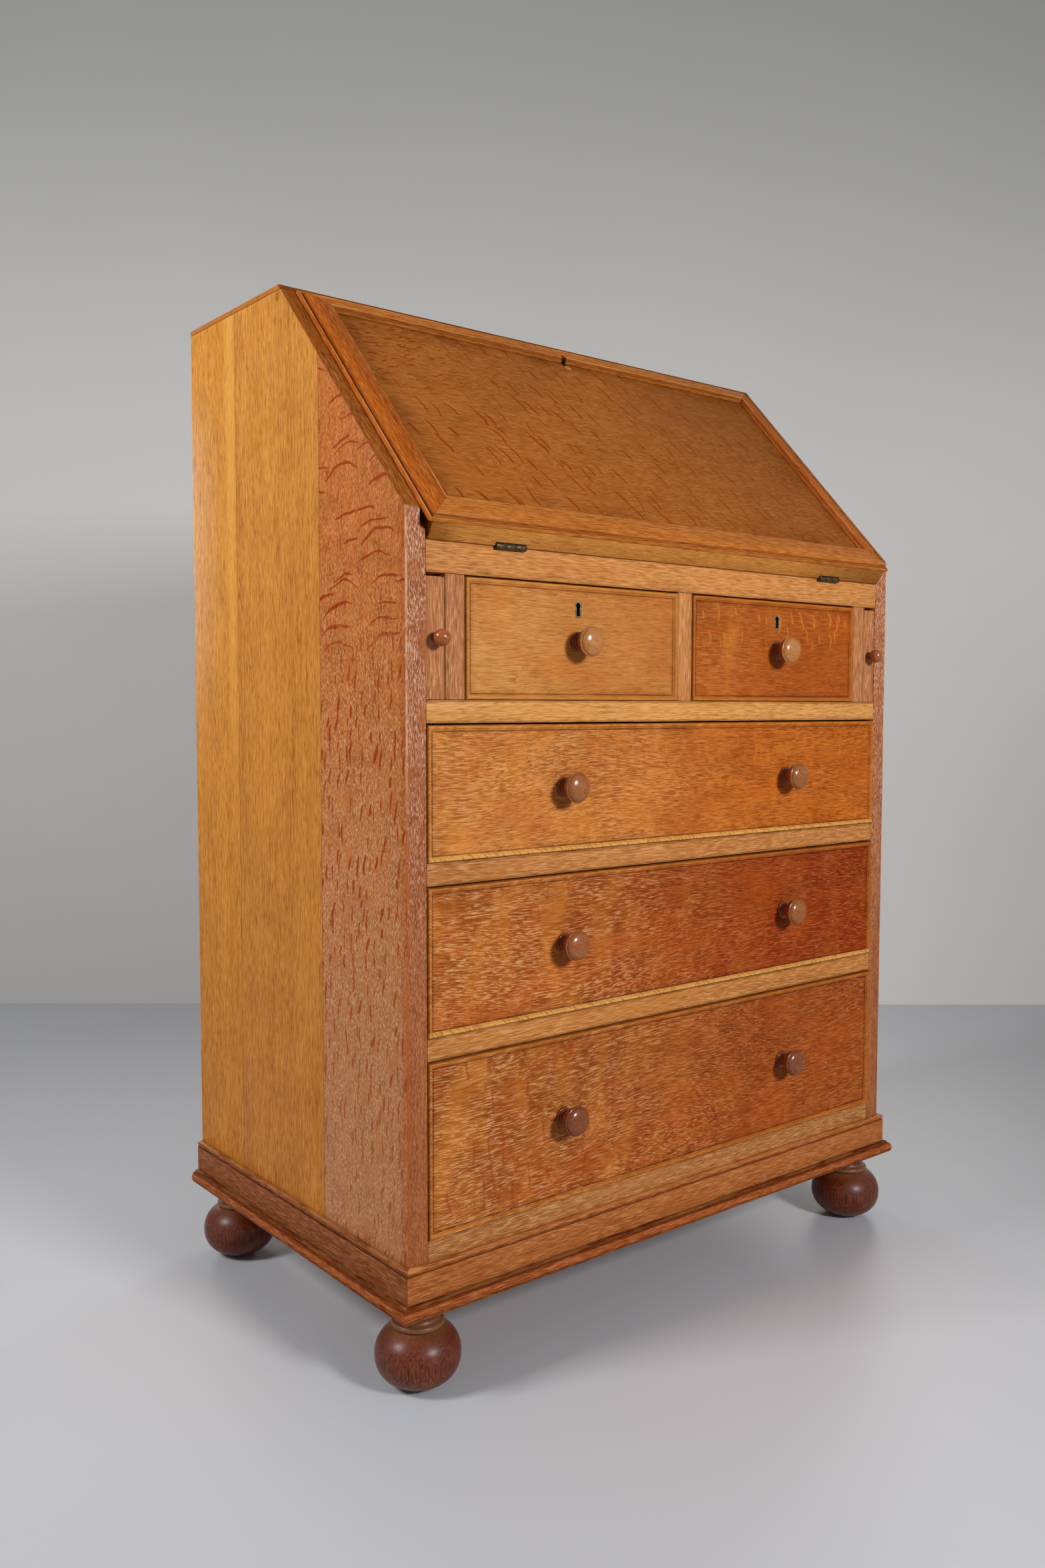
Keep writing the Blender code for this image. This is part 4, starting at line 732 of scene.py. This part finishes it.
def paint_fall_board():
    """The lid: brown, fine grain across it, wavy red rays, painted shade and dirt along the mouldings,
    a chip by the lock.
    """
    node = "fall_board"
    g = Paint(node)
    left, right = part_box("fall_moulding_left")[1].x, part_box("fall_moulding_right")[0].x
    foot, head = fall_span("fall_moulding_bottom")[1], fall_span("fall_moulding_top")[0]
    underside = g.fade(g.less(g.a, g.times(g.n, math.tan(FOOT_BEVEL))), SKIN, 2 * SKIN)
    inside = g.fade(g.n, SKIN, 2 * SKIN)
    field = g.rest(g.highest(underside, inside))
    wood = g.pick(inside, g.pick(underside, LID_TONE, LID_FOOT_TONE), FALL_INSIDE_TONE)
    g.oak(wood, g.x, g.plus(g.a, g.n), wander=0.012, lime=0.12, pores=0.3, streaks=0.45, blocks=0.6)
    corner = g.times(g.fade(g.x, *CORNER_X), g.ramp(g.a, *CORNER_A))
    waves = g.times(g.flecks(g.a, g.x, LID_WAVES), g.rest(corner))
    rays = g.plus(waves, g.times(g.flecks(g.x, g.a, LID_DASHES), corner))
    g.lay(LID_RAY, rays, g.ramp(g.x, left, right, *LID_RAY_SHARES), field)
    edge = g.nearest(g.within(g.x, left, right), g.within(g.a, foot, head))
    dirt = g.ramp(g.noise(g.grain, LID_DIRT), *SOFT_SPLIT)
    # painted shade along the panel's edge by the moulding step, and patchy dirt further in
    g.soil_and_shade(g.plus(g.mark(edge, LID_EDGE_SHADE), g.times(g.mark(edge, LID_SMEAR), dirt)), field)
    ragged = g.times(g.swing(g.grain, CHIP_RAGGED), CHIP_RAG)
    off_chip = g.oval(g.x, g.a, (CHIP_PLACE[0], head - CHIP_PLACE[1]), CHIP_SIZE)
    g.lay(CHIP_PALE, g.mark(g.plus(off_chip, ragged), CHIP), field)
    g.soil_and_shade(g.plus(g.fade(g.x, *SMOKE_LEFT), g.ramp(g.x, *SMOKE_RIGHT)), underside, SMOKE_SHARE)
    g.stain(MID_GREY, g.ramp(g.x, 0.0, right), field, RIGHT_SHADE)
    dress(node, g.close_oak(FALL_ROUGH, LID_SHINE), LID_SOFT)


def paint_moulding(run):
    """A fall moulding: grain along it, painted shade and dirt in its groove and along its inner step,
    worn crown and bead.
    """
    node = "fall_moulding_" + run
    g = Paint(node)
    low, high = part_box(node)
    bottom, top, _, _ = fall_span(node)
    away = {
        "left": g.less(g.x, low.x), "right": g.less(high.x, g.x),
        "bottom": g.less(g.a, bottom), "top": g.less(top, g.a),
    }[run]
    along, across, wood = (g.a, g.x, MOULD_END_TONE) if run in HANDS else (g.x, g.a, MOULD_TONE)
    g.oak(wood, along, g.plus(across, g.n), streaks=0.6, pores=0.4, lime=0.15)
    # painted shade and dirt in the groove and along the inner step
    for place, dirt in MOULD_SHADE_AND_DIRT:
        g.soil_and_shade(g.mark(g.off(away, place), dirt))
    patch = g.ramp(g.noise(g.grain, MOULD_WEAR), *SOFT_SPLIT)
    for place, worn in MOULD_WORN:
        g.lay(WORN, g.mark(g.off(away, place), worn), patch)
    # painted shade in the keyhole
    if run == "top":
        g.soil_and_shade(g.mark(g.oval(g.x, g.a, LID_KEYHOLE_SHADE_PLACE, LID_KEYHOLE_SHADE_SIZE), LID_KEYHOLE_SHADE))
    dress(node, g.close_oak(FALL_ROUGH), MOULD_SOFT)


BRASS_SOFT, BRASS_SHINE, BRASS_ROUGH_SWING = 0.0002, 0.5, 0.2


def brass_material(name, brass, metal=0.75, dull=0.55):
    """Old brass gone dark: greenish brown, blotched, with a little metal left showing."""
    g = Paint(name)
    blotch = g.ramp(g.noise(g.here, BRASS_BLOTCHES), *SOFT_SPLIT)
    g.colour = g.blend(blotch, *brass)
    rough = g.ramp(blotch, 0.0, 1.0, dull, dull - BRASS_ROUGH_SWING)
    return g.close(rough, BRASS_SHINE, blotch, BRASS_BUMP, metal)


def paint_brass(node):
    dress(node, brass_material(node, PLATE_BRASS), BRASS_SOFT)


TOP_SOFT, TOP_DIRT_AND_SHADE_SHARE = 0.0004, 0.85


def paint_top():
    """The top board, with a dark strip of dirt and painted shade along its bevelled front."""
    node = "top_board"
    g = Paint(node)
    g.oak(TOP_TONE, g.x, g.plus(g.y, g.z), streaks=0.5, pores=0.4, lime=0.1)
    rise = fall_span(node)[3]
    # dark strip on the bevelled front: partly dirt, partly painted shade of the gap above the lid
    g.soil_and_shade(g.ramp(g.n, rise - 4 * SKIN, rise - SKIN), TOP_DIRT_AND_SHADE_SHARE)
    dress(node, g.close_oak(), TOP_SOFT)


PLINTH_LINES = ((0.0058, 0.0012, 0.8), (0.0326, 0.0014, 0.8))
BASE_LINES = ((0.0, 0.0022, 0.8), (0.0024, 0.0014, 0.7), (0.0110, 0.0030, 0.5))
# the last share darkens a rail's edges: partly dirt, partly painted shade of the gaps beside the drawers
RAILS = {  # tone, and shares of limed pores, wear and grime
    "fall_rail": (tone(196, 130, 69), 0.3, 0.3, 0.4),
    "upper_rail": (tone(208, 145, 77), 0.4, 0.4, 0.6),
    "middle_rail": (tone(186, 120, 63), 0.5, 0.3, 0.6),
    "lower_rail": (tone(188, 121, 60), 0.5, 0.3, 0.6),
    "bottom_rail": (tone(172, 112, 61), 0.5, 0.3, 0.4),
}


def paint_case():
    for hand in HANDS:
        paint_side("side_" + hand)
        paint_board("plinth_" + hand, PLINTH_SIDE_TONE, "y", lime=0.2, wear=0.4, lines=PLINTH_LINES)
        paint_board("partition_" + hand, POST_TONE, "z", lime=0.5, wear=0.3, dirt_and_shade=0.4)
        paint_board("loper_" + hand, POST_TONE, "faced", lime=0.6, wear=0.4, dirt_and_shade=0.5)
        for plate in ("hinge_rail_leaf_", "hinge_fall_leaf_", "hinge_pin_"):
            paint_brass(plate + hand)
    paint_board("partition_center", MIDDLE_POST_TONE, "z", lime=0.5, wear=0.3, dirt_and_shade=0.4)
    for node, (wood, lime, wear, dirt_and_shade) in RAILS.items():
        paint_board(node, wood, "x", lime=lime, wear=wear, dirt_and_shade=dirt_and_shade)
    paint_board("plinth_front", PLINTH_TONE, "x", lime=0.3, wear=0.4, lines=PLINTH_LINES)
    paint_board("base_board", BASE_TONE, "mitred", lime=0.2, wear=0.2, lines=BASE_LINES)
    paint_top()
    paint_board("back_panel", BACK_TONE, "z", rough=0.6)
    for node in ("writing_bed", "dustboard_upper", "dustboard_middle", "dustboard_lower", "dustboard_bottom"):
        paint_board(node, INSIDE_TONE, "x", rough=0.5)
    paint_board("pigeonhole_rack", INSIDE_TONE, "carcase", rough=0.5, soft=0.0)
    paint_fall_board()
    for run in ("top", "bottom", *HANDS):
        paint_moulding(run)
    paint_brass("fall_lock")


def paint_drawers():
    for drawer, front in FRONTS.items():
        paint_drawer_front(drawer, front)
        paint_board(f"drawer_{drawer}_box", INSIDE_TONE, "carcase", rough=0.55, soft=BOX_SOFT)


# New pieces

def new_piece(name, bm, material, body):
    """A piece from a bmesh in the row frame, riding on a body."""
    bmesh.ops.recalc_face_normals(bm, faces=bm.faces)
    mesh = bpy.data.meshes.new(name)
    bm.to_mesh(mesh)
    bm.free()
    piece = bpy.data.objects.new(name, mesh)
    bpy.context.scene.collection.objects.link(piece)
    mesh.materials.append(material)
    smooth(piece)
    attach(piece, body)
    return piece


def arc(centre_r, centre_h, radius_r, radius_h, start, end, count):
    """Points of a profile on an ellipse from start to end, both in degrees."""
    points = []
    for index in range(count + 1):
        angle = math.radians(start + (end - start) * index / count)
        points.append((centre_r + radius_r * math.cos(angle), centre_h + radius_h * math.sin(angle)))
    return points


def bridge(bm, first, second):
    """Faces between two rings of as many points."""
    for index in range(len(first)):
        after = (index + 1) % len(first)
        bm.faces.new((first[index], first[after], second[after], second[index]))


def turned(node, profile, origin, axis, steps, material):
    """A profile of (radius, height) turned about an axis, standing for a CAD node."""
    turn = Vector((0.0, 0.0, 1.0)).rotation_difference(axis).to_matrix()
    bm = bmesh.new()
    rings = []
    for radius, height in profile:
        if radius < 1e-6:
            rings.append([bm.verts.new(origin + turn @ Vector((0.0, 0.0, height)))])
            continue
        ring = []
        for index in range(steps):
            angle = math.tau * index / steps
            point = Vector((radius * math.cos(angle), radius * math.sin(angle), height))
            ring.append(bm.verts.new(origin + turn @ point))
        rings.append(ring)
    for upper, lower in zip(rings, rings[1:]):
        for index in range(steps):
            after = (index + 1) % steps
            if len(upper) == 1:
                bm.faces.new((upper[0], lower[index], lower[after]))
            elif len(lower) == 1:
                bm.faces.new((upper[index], lower[0], upper[after]))
            else:
                bm.faces.new((upper[index], lower[index], lower[after], upper[after]))
    piece = new_piece("turned_" + node, bm, material, BODY_OF[node])
    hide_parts(node)


# Feet
FOOT_STEPS = 72
FOOT_FULLNESS = 2.2  # squareness of the bun
FOOT_BALL_SHARE = 0.7803  # height of the bun in a foot
FOOT_RING_SHARE = 0.62  # radius of the ring to that of the bun
FOOT_RING_H = 0.0064
FOOT_RING_QUIRK = 0.0012
FOOT_FLAT_R = 0.010
FOOT_NECK_R, FOOT_TOP_R, FOOT_TOP_H = 0.0190, 0.0225, 0.0050
FOOT_BALL_COUNT, FOOT_RING_COUNT, FOOT_NECK_COUNT = 40, 12, 12  # steps of each curve
FOOT_LIME_Z, FOOT_LIME = (0.005, 0.05), (0.45, 0.08)
TURNING_LEVELS, TURNING_SHARE = (0.45, 0.65), 0.35
CROWN_RISE_Z, CROWN_END_Z = (0.048, 0.060), (0.064, 0.067)  # dusty upper part of the bun
DUST_SHARES = (0.2, 0.5)


def foot_profile(radius, height):
    """A bun foot from its seat down: a flare, a hollow neck, a ring in a groove and the bun."""
    ring_r = radius * FOOT_RING_SHARE
    half = height * FOOT_BALL_SHARE / 2
    start = math.acos(((ring_r - FOOT_RING_QUIRK) / radius) ** (FOOT_FULLNESS / 2))
    end = -math.acos((FOOT_FLAT_R / radius) ** (FOOT_FULLNESS / 2))
    ball = []
    for index in range(FOOT_BALL_COUNT + 1):
        turn = start + (end - start) * index / FOOT_BALL_COUNT
        across = radius * math.cos(turn) ** (2 / FOOT_FULLNESS)
        rise = half * math.sin(abs(turn)) ** (2 / FOOT_FULLNESS)
        ball.append((across, math.copysign(rise, turn)))
    floor = ball[-1][1]
    ball = [(across, rise - floor) for across, rise in ball]
    ring_half = FOOT_RING_H / 2
    ring_low = ball[0][1]
    ring = arc(ring_r - ring_half, ring_low + ring_half, ring_half, ring_half, 80, -75, FOOT_RING_COUNT)
    neck_low = ring_low + FOOT_RING_H
    neck_half = (height - FOOT_TOP_H - neck_low) / 2
    neck_hollow = FOOT_TOP_R - FOOT_NECK_R
    neck = arc(FOOT_TOP_R, neck_low + neck_half, neck_hollow, neck_half, 90, 270, FOOT_NECK_COUNT)
    return [(0.0, height), (FOOT_TOP_R, height), *neck, *ring, *ball, (0.0, 0.0)]


def paint_foot(node):
    """Dark oak with turning lines, limed low down and dusty on its crown."""
    g = Paint(node, "turned_")
    g.oak(FOOT_TONE, g.z, g.x, g.y, streaks=0.8, lime=g.ramp(g.z, *FOOT_LIME_Z, *FOOT_LIME))
    turning = g.noise(g.vector(0.0, 0.0, g.z), TURNING_LINES)
    g.soil_and_shade(g.ramp(turning, *TURNING_LEVELS, 0.0, TURNING_SHARE))
    crown = g.times(g.ramp(g.z, *CROWN_RISE_Z), g.fade(g.z, *CROWN_END_Z))
    g.lay(FOOT_DUST, crown, g.ramp(turning, *SOFT_SPLIT, *DUST_SHARES))
    return g.close_oak(rough=0.38, shine=0.2, coat=0.3)


def make_feet():
    for end in ("front_left", "front_right", "back_left", "back_right"):
        node = "foot_" + end
        low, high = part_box(node)
        radius = (high.x - low.x) / 2
        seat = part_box("base_board")[0].z - low.z
        origin = Vector(((low.x + high.x) / 2, (low.y + high.y) / 2, low.z))
        up = Vector((0, 0, 1))
        turned(node, foot_profile(radius, seat), origin, up, FOOT_STEPS, paint_foot(node))


# Knobs
KNOB_STEPS = 56
KNOB_HEAD_R = 0.0149
KNOB_FACE_R, KNOB_FACE_RISE, KNOB_RIM_H = 0.0138, 0.0062, 0.0024
KNOB_RIM_INSET = 0.0002
KNOB_BOWL_H, KNOB_NECK_R = 0.0075, 0.0064
KNOB_RING_R, KNOB_RING_H, KNOB_BASE_R, KNOB_BASE_H = 0.0078, 0.0016, 0.0098, 0.0026
KNOB_BASE_ROUND = 0.0009
BALL_R, BALL_CENTRE = 0.0078, 0.0106
BALL_NECK_R, BALL_BASE_R, BALL_BASE_H = 0.0032, 0.0042, 0.0016
BOWL_DEEP, SHADE_DEEP = (0.24, 0.34), (0.55, 0.9)  # depth behind the face to the knob's width
KNOB_SHADE_SHARE, KNOB_SLANT = 0.5, 0.5


def knob_profile():
    """A mushroom knob from its face down: dome, groove, beaded rim, bowl, neck, ring and base."""
    rim_h = KNOB_REACH - KNOB_FACE_RISE
    dome = arc(0.0, rim_h, KNOB_FACE_R, KNOB_FACE_RISE, 90, 6, 16)
    dome[0] = (0.0, KNOB_REACH)
    rim_half = KNOB_RIM_H / 2
    rim_r = KNOB_FACE_R - KNOB_RIM_INSET
    rim = arc(rim_r, rim_h - rim_half, KNOB_HEAD_R - rim_r, rim_half, 70, -80, 8)
    bowl = arc(KNOB_NECK_R, rim_h - KNOB_RIM_H, KNOB_FACE_R - KNOB_NECK_R, KNOB_BOWL_H, -4, -86, 14)
    ring_half = KNOB_RING_H / 2
    ring = arc(KNOB_RING_R - ring_half, KNOB_BASE_H + ring_half, ring_half, ring_half, 85, -75, 8)
    base_r, base_h = KNOB_BASE_R - KNOB_BASE_ROUND, KNOB_BASE_H - KNOB_BASE_ROUND
    base = arc(base_r, base_h, KNOB_BASE_ROUND, KNOB_BASE_ROUND, 85, 0, 6)
    neck = (KNOB_NECK_R, KNOB_BASE_H + KNOB_RING_H)
    return [*dome, *rim, *bowl, neck, *ring, *base, (KNOB_BASE_R, 0.0), (0.0, 0.0)]


def ball_profile():
    """A loper's ball knob: ball, short neck and a small rounded foot."""
    ball = arc(0.0, BALL_CENTRE, BALL_R, BALL_R, 90, -math.degrees(math.acos(BALL_NECK_R / BALL_R)), 24)
    ball[0] = (0.0, BALL_CENTRE + BALL_R)
    half = BALL_BASE_H / 2
    base = arc(BALL_BASE_R - half, half, half, half, 85, 0, 5)
    return [*ball, (BALL_NECK_R, BALL_BASE_H), *base, (BALL_BASE_R, 0.0), (0.0, 0.0)]


def paint_knob(node):
    """A polished knob: a tone of its row on the face, darker for lower rows as painted shade, a redder bowl,
    and painted shade low down under its head.
    """
    g = Paint(node, "turned_")
    low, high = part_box(node)
    deep = g.times(g.less(g.y, low.y), 1 / (high.z - low.z))
    face_wood = next(wood for row, wood in KNOB_TONES.items() if row in node)
    wood = g.pick(g.ramp(deep, *BOWL_DEEP), face_wood, KNOB_BOWL_TONE)
    slanted = g.plus(g.z, g.times(g.x, KNOB_SLANT))
    g.oak(wood, g.x, slanted, g.y, lime=0.1, streaks=0.3, pores=0.15)
    # painted shade on the neck and base under the knob's head
    g.soil_and_shade(g.ramp(deep, *SHADE_DEEP, 0.0, KNOB_SHADE_SHARE))
    return g.close_oak(rough=0.34, shine=0.1, coat=0.8, coat_rough=0.18)


def make_knobs():
    outward = Vector((0, -1, 0))
    for node in sorted(node for node in NODES if "_knob" in node):
        low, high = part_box(node)
        profile = knob_profile() if node.startswith("drawer") else ball_profile()
        reach = profile[0][1]
        seat = Vector(((low.x + high.x) / 2, low.y + reach, (low.z + high.z) / 2))
        turned(node, profile, seat, outward, KNOB_STEPS, paint_knob(node))


# Small brass
THREAD_W, THREAD_PROUD, THREAD_SUNK, THREAD_ROUND = 0.0018, 0.0003, 0.0008, 0.0003
THREAD_LIP = 0.0001  # upright edge of a thread above the wood
THREAD_SECTION = (  # growth of the keyhole's outline, and depth from the face
    (0.0, THREAD_SUNK), (0.0, -THREAD_LIP), (THREAD_ROUND, -THREAD_PROUD),
    (THREAD_W - THREAD_ROUND, -THREAD_PROUD), (THREAD_W, -THREAD_LIP), (THREAD_W, THREAD_SUNK),
)
SLOT_ROUND = 0.45  # corner of a keyhole's slot to half its width
SCREW_R, SCREW_PROUD, SCREW_SUNK, SCREW_SLOT = 0.0026, 0.0002, 0.0006, 0.0006
SCREW_OPENING = 78  # degrees of a half round, either way, left by the slot
LEAF_SCREWS = (0.2, 0.8)  # places along a hinge leaf; each also turns its slot by as many radians
LEAF_INSET, LOCK_INSET = 0.0065, 0.006
LOCK_TURNS = ((0.4, 1.1), (0.3, 0.9))  # of the slots, from left to right and from low to high


def keyhole_outline(grow):
    """A keyhole's outline as (across, up) points, grown outwards evenly."""
    radius, half = KEYHOLE_R + grow, KEYHOLE_SLOT_W / 2 + grow
    foot = -KEYHOLE_H / 2 - grow
    reach = math.degrees(math.asin(half / radius))
    eye = arc(0.0, KEYHOLE_H / 2 - KEYHOLE_R, radius, radius, reach - 90, 270 - reach, 28)
    corner = half * SLOT_ROUND
    left = arc(-half + corner, foot + corner, corner, corner, 180, 270, 6)
    right = arc(half - corner, foot + corner, corner, corner, 270, 360, 6)
    return eye + left + right


def make_escutcheons():
    """Brass threads let in round the small drawers' keyholes."""
    material = brass_material("thread_brass", THREAD_BRASS, metal=0.2, dull=0.8)
    for hand in HANDS:
        drawer = f"small_{hand}"
        centre = keyhole_place(drawer)
        bm = bmesh.new()
        rings = []
        for grow, depth in THREAD_SECTION:
            outline = keyhole_outline(grow)
            rings.append([bm.verts.new(centre + Vector((across, depth, up))) for across, up in outline])
        for first, second in zip(rings, rings[1:] + rings[:1]):
            bridge(bm, first, second)
        new_piece(f"keyhole_thread_{hand}", bm, material, f"{drawer}_drawer")


def add_screw(bm, centre, normal, slot_way):
    """A countersunk screw head, flush with its plate: two half rounds either side of a slot."""
    side = normal.cross(slot_way)
    for hand in (1, -1):
        rim = arc(0.0, 0.0, SCREW_R, SCREW_R, -SCREW_OPENING, SCREW_OPENING, 12)
        top, low = [], []
        for across, along in rim:
            flat = centre + side * hand * max(across, SCREW_SLOT / 2) + slot_way * along
            top.append(bm.verts.new(flat + normal * SCREW_PROUD))
            low.append(bm.verts.new(flat - normal * SCREW_SUNK))
        bm.faces.new(top)
        bm.faces.new(low)
        bridge(bm, top, low)


def add_fall_screw(bm, x, along, turn):
    """A screw in the inner face of the fall."""
    place = PIVOT + FALL_UP * along
    place.x = x
    add_screw(bm, place, -FALL_OUT, Vector((math.cos(turn), 0.0, 0.0)) + FALL_UP * math.sin(turn))


def make_screws():
    """Screws in the hinge leaves and at the corners of the lock, seen when the fall is open."""
    material = brass_material("screw_brass", SCREW_BRASS)
    up = Vector((0.0, 0.0, 1.0))
    for hand in HANDS:
        low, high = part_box("hinge_rail_leaf_" + hand)
        bm = bmesh.new()
        for share in LEAF_SCREWS:
            place = Vector((low.x + (high.x - low.x) * share, high.y - LEAF_INSET, high.z))
            add_screw(bm, place, up, Vector((math.cos(share), math.sin(share), 0.0)))
        new_piece("rail_leaf_screws_" + hand, bm, material, "case")
        low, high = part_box("hinge_fall_leaf_" + hand)
        far = fall_span("hinge_fall_leaf_" + hand)[1] - LEAF_INSET
        bm = bmesh.new()
        for share in LEAF_SCREWS:
            add_fall_screw(bm, low.x + (high.x - low.x) * share, far, share)
        new_piece("fall_leaf_screws_" + hand, bm, material, "fall")
    low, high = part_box("fall_lock")
    bottom, top, _, _ = fall_span("fall_lock")
    bm = bmesh.new()
    for x, turn in zip((low.x + LOCK_INSET, high.x - LOCK_INSET), LOCK_TURNS[0]):
        for along, twist in zip((bottom + LOCK_INSET, top - LOCK_INSET), LOCK_TURNS[1]):
            add_fall_screw(bm, x, along, turn + twist)
    new_piece("lock_screws", bm, material, "fall")


# Studio

def stage_plane(name, corners, colour, rough):
    """A plain sheet of floor or wall, which is clear from behind."""
    mesh = bpy.data.meshes.new(name)
    mesh.from_pydata([tuple(corner) for corner in corners], [], [(0, 1, 2, 3)])
    obj = bpy.data.objects.new(name, mesh)
    bpy.context.scene.collection.objects.link(obj)
    g = Paint(name)
    # painted shade: the wall darkens upwards to its top colour
    g.colour = g.blend(g.ramp(g.z, *WALL_FADE_Z), srgb(*colour), srgb(*WALL_TOP_COLOUR))
    g.stain(MID_GREY, g.ramp(g.noise(g.here, STAGE_MOTTLE), *MOTTLE_LEVELS, 0.0, MOTTLE_SHARE))
    mesh.materials.append(g.close(rough, STAGE_SHINE))
    output = next(node for node in g.tree.nodes if node.type == "OUTPUT_MATERIAL")
    surface = output.inputs[0].links[0].from_socket
    behind = g.add("NewGeometry").outputs["Backfacing"]
    clear = g.add("MixShader", {0: behind, 1: surface, 2: g.add("BsdfTransparent").outputs[0]})
    g.tree.links.new(clear.outputs[0], output.inputs[0])
    return obj


def make_studio():
    ahead = Vector((math.sin(CAMERA_YAW), math.cos(CAMERA_YAW), 0.0))
    right = Vector((ahead.y, -ahead.x, 0.0))
    foot = Vector((CAMERA_PLACE.x, CAMERA_PLACE.y, 0.0)) + ahead * WALL_AWAY
    left_end, right_end = foot - right * WALL_W / 2, foot + right * WALL_W / 2
    near, far = ahead * -(WALL_AWAY + FLOOR_BACK), ahead * FLOOR_BEYOND
    up = Vector((0.0, 0.0, WALL_H))
    floor_corners = (left_end + near, right_end + near, right_end + far, left_end + far)
    stage_plane("floor", floor_corners, FLOOR_COLOUR, FLOOR_ROUGH)
    wall_corners = (left_end, right_end, right_end + up, left_end + up)
    stage_plane("wall", wall_corners, WALL_COLOUR, WALL_ROUGH).visible_shadow = False
    for name, (place, width, power, spread) in LAMPS.items():
        data = bpy.data.lights.new(name, "AREA")
        data.shape = "SQUARE"
        data.size = width
        data.energy = power
        data.spread = math.radians(spread)
        lamp = bpy.data.objects.new(name, data)
        lamp.location = place
        lamp.rotation_euler = (LAMP_AIM - Vector(place)).to_track_quat("-Z", "Y").to_euler()
        bpy.context.scene.collection.objects.link(lamp)
    world = bpy.data.worlds.new("studio")
    world.use_nodes = True
    g = Graph(world.node_tree)
    path = g.add("LightPath").outputs
    seen = g.highest(path["Is Camera Ray"], path["Is Glossy Ray"], path["Is Transmission Ray"])
    background = world.node_tree.nodes["Background"].inputs
    background["Color"].default_value = WHITE
    world.node_tree.links.new(g.choose(seen, WORLD_LEVEL, BACKGROUND_LEVEL), background["Strength"])
    bpy.context.scene.world = world


def make_camera():
    ahead = Vector((
        math.sin(CAMERA_YAW) * math.cos(CAMERA_PITCH),
        math.cos(CAMERA_YAW) * math.cos(CAMERA_PITCH),
        -math.sin(CAMERA_PITCH),
    ))
    right = Vector((math.cos(CAMERA_YAW), -math.sin(CAMERA_YAW), 0.0))
    down = ahead.cross(right)
    level = right * math.cos(CAMERA_ROLL) + down * math.sin(CAMERA_ROLL)
    upright = right * math.sin(CAMERA_ROLL) - down * math.cos(CAMERA_ROLL)
    turn = Matrix((level, upright, -ahead)).transposed()
    data = bpy.data.cameras.new("camera")
    data.sensor_fit = "VERTICAL"
    data.sensor_height = SENSOR_H
    data.lens = FOCAL_PIXELS / IMAGE_H * SENSOR_H
    camera = bpy.data.objects.new("camera", data)
    camera.matrix_world = Matrix.Translation(CAMERA_PLACE) @ turn.to_4x4()
    bpy.context.scene.collection.objects.link(camera)
    bpy.context.scene.camera = camera


paint_case()
paint_drawers()
make_feet()
make_knobs()
make_escutcheons()
make_screws()
make_studio()
make_camera()
bpy.context.scene.view_settings.view_transform = "Standard"
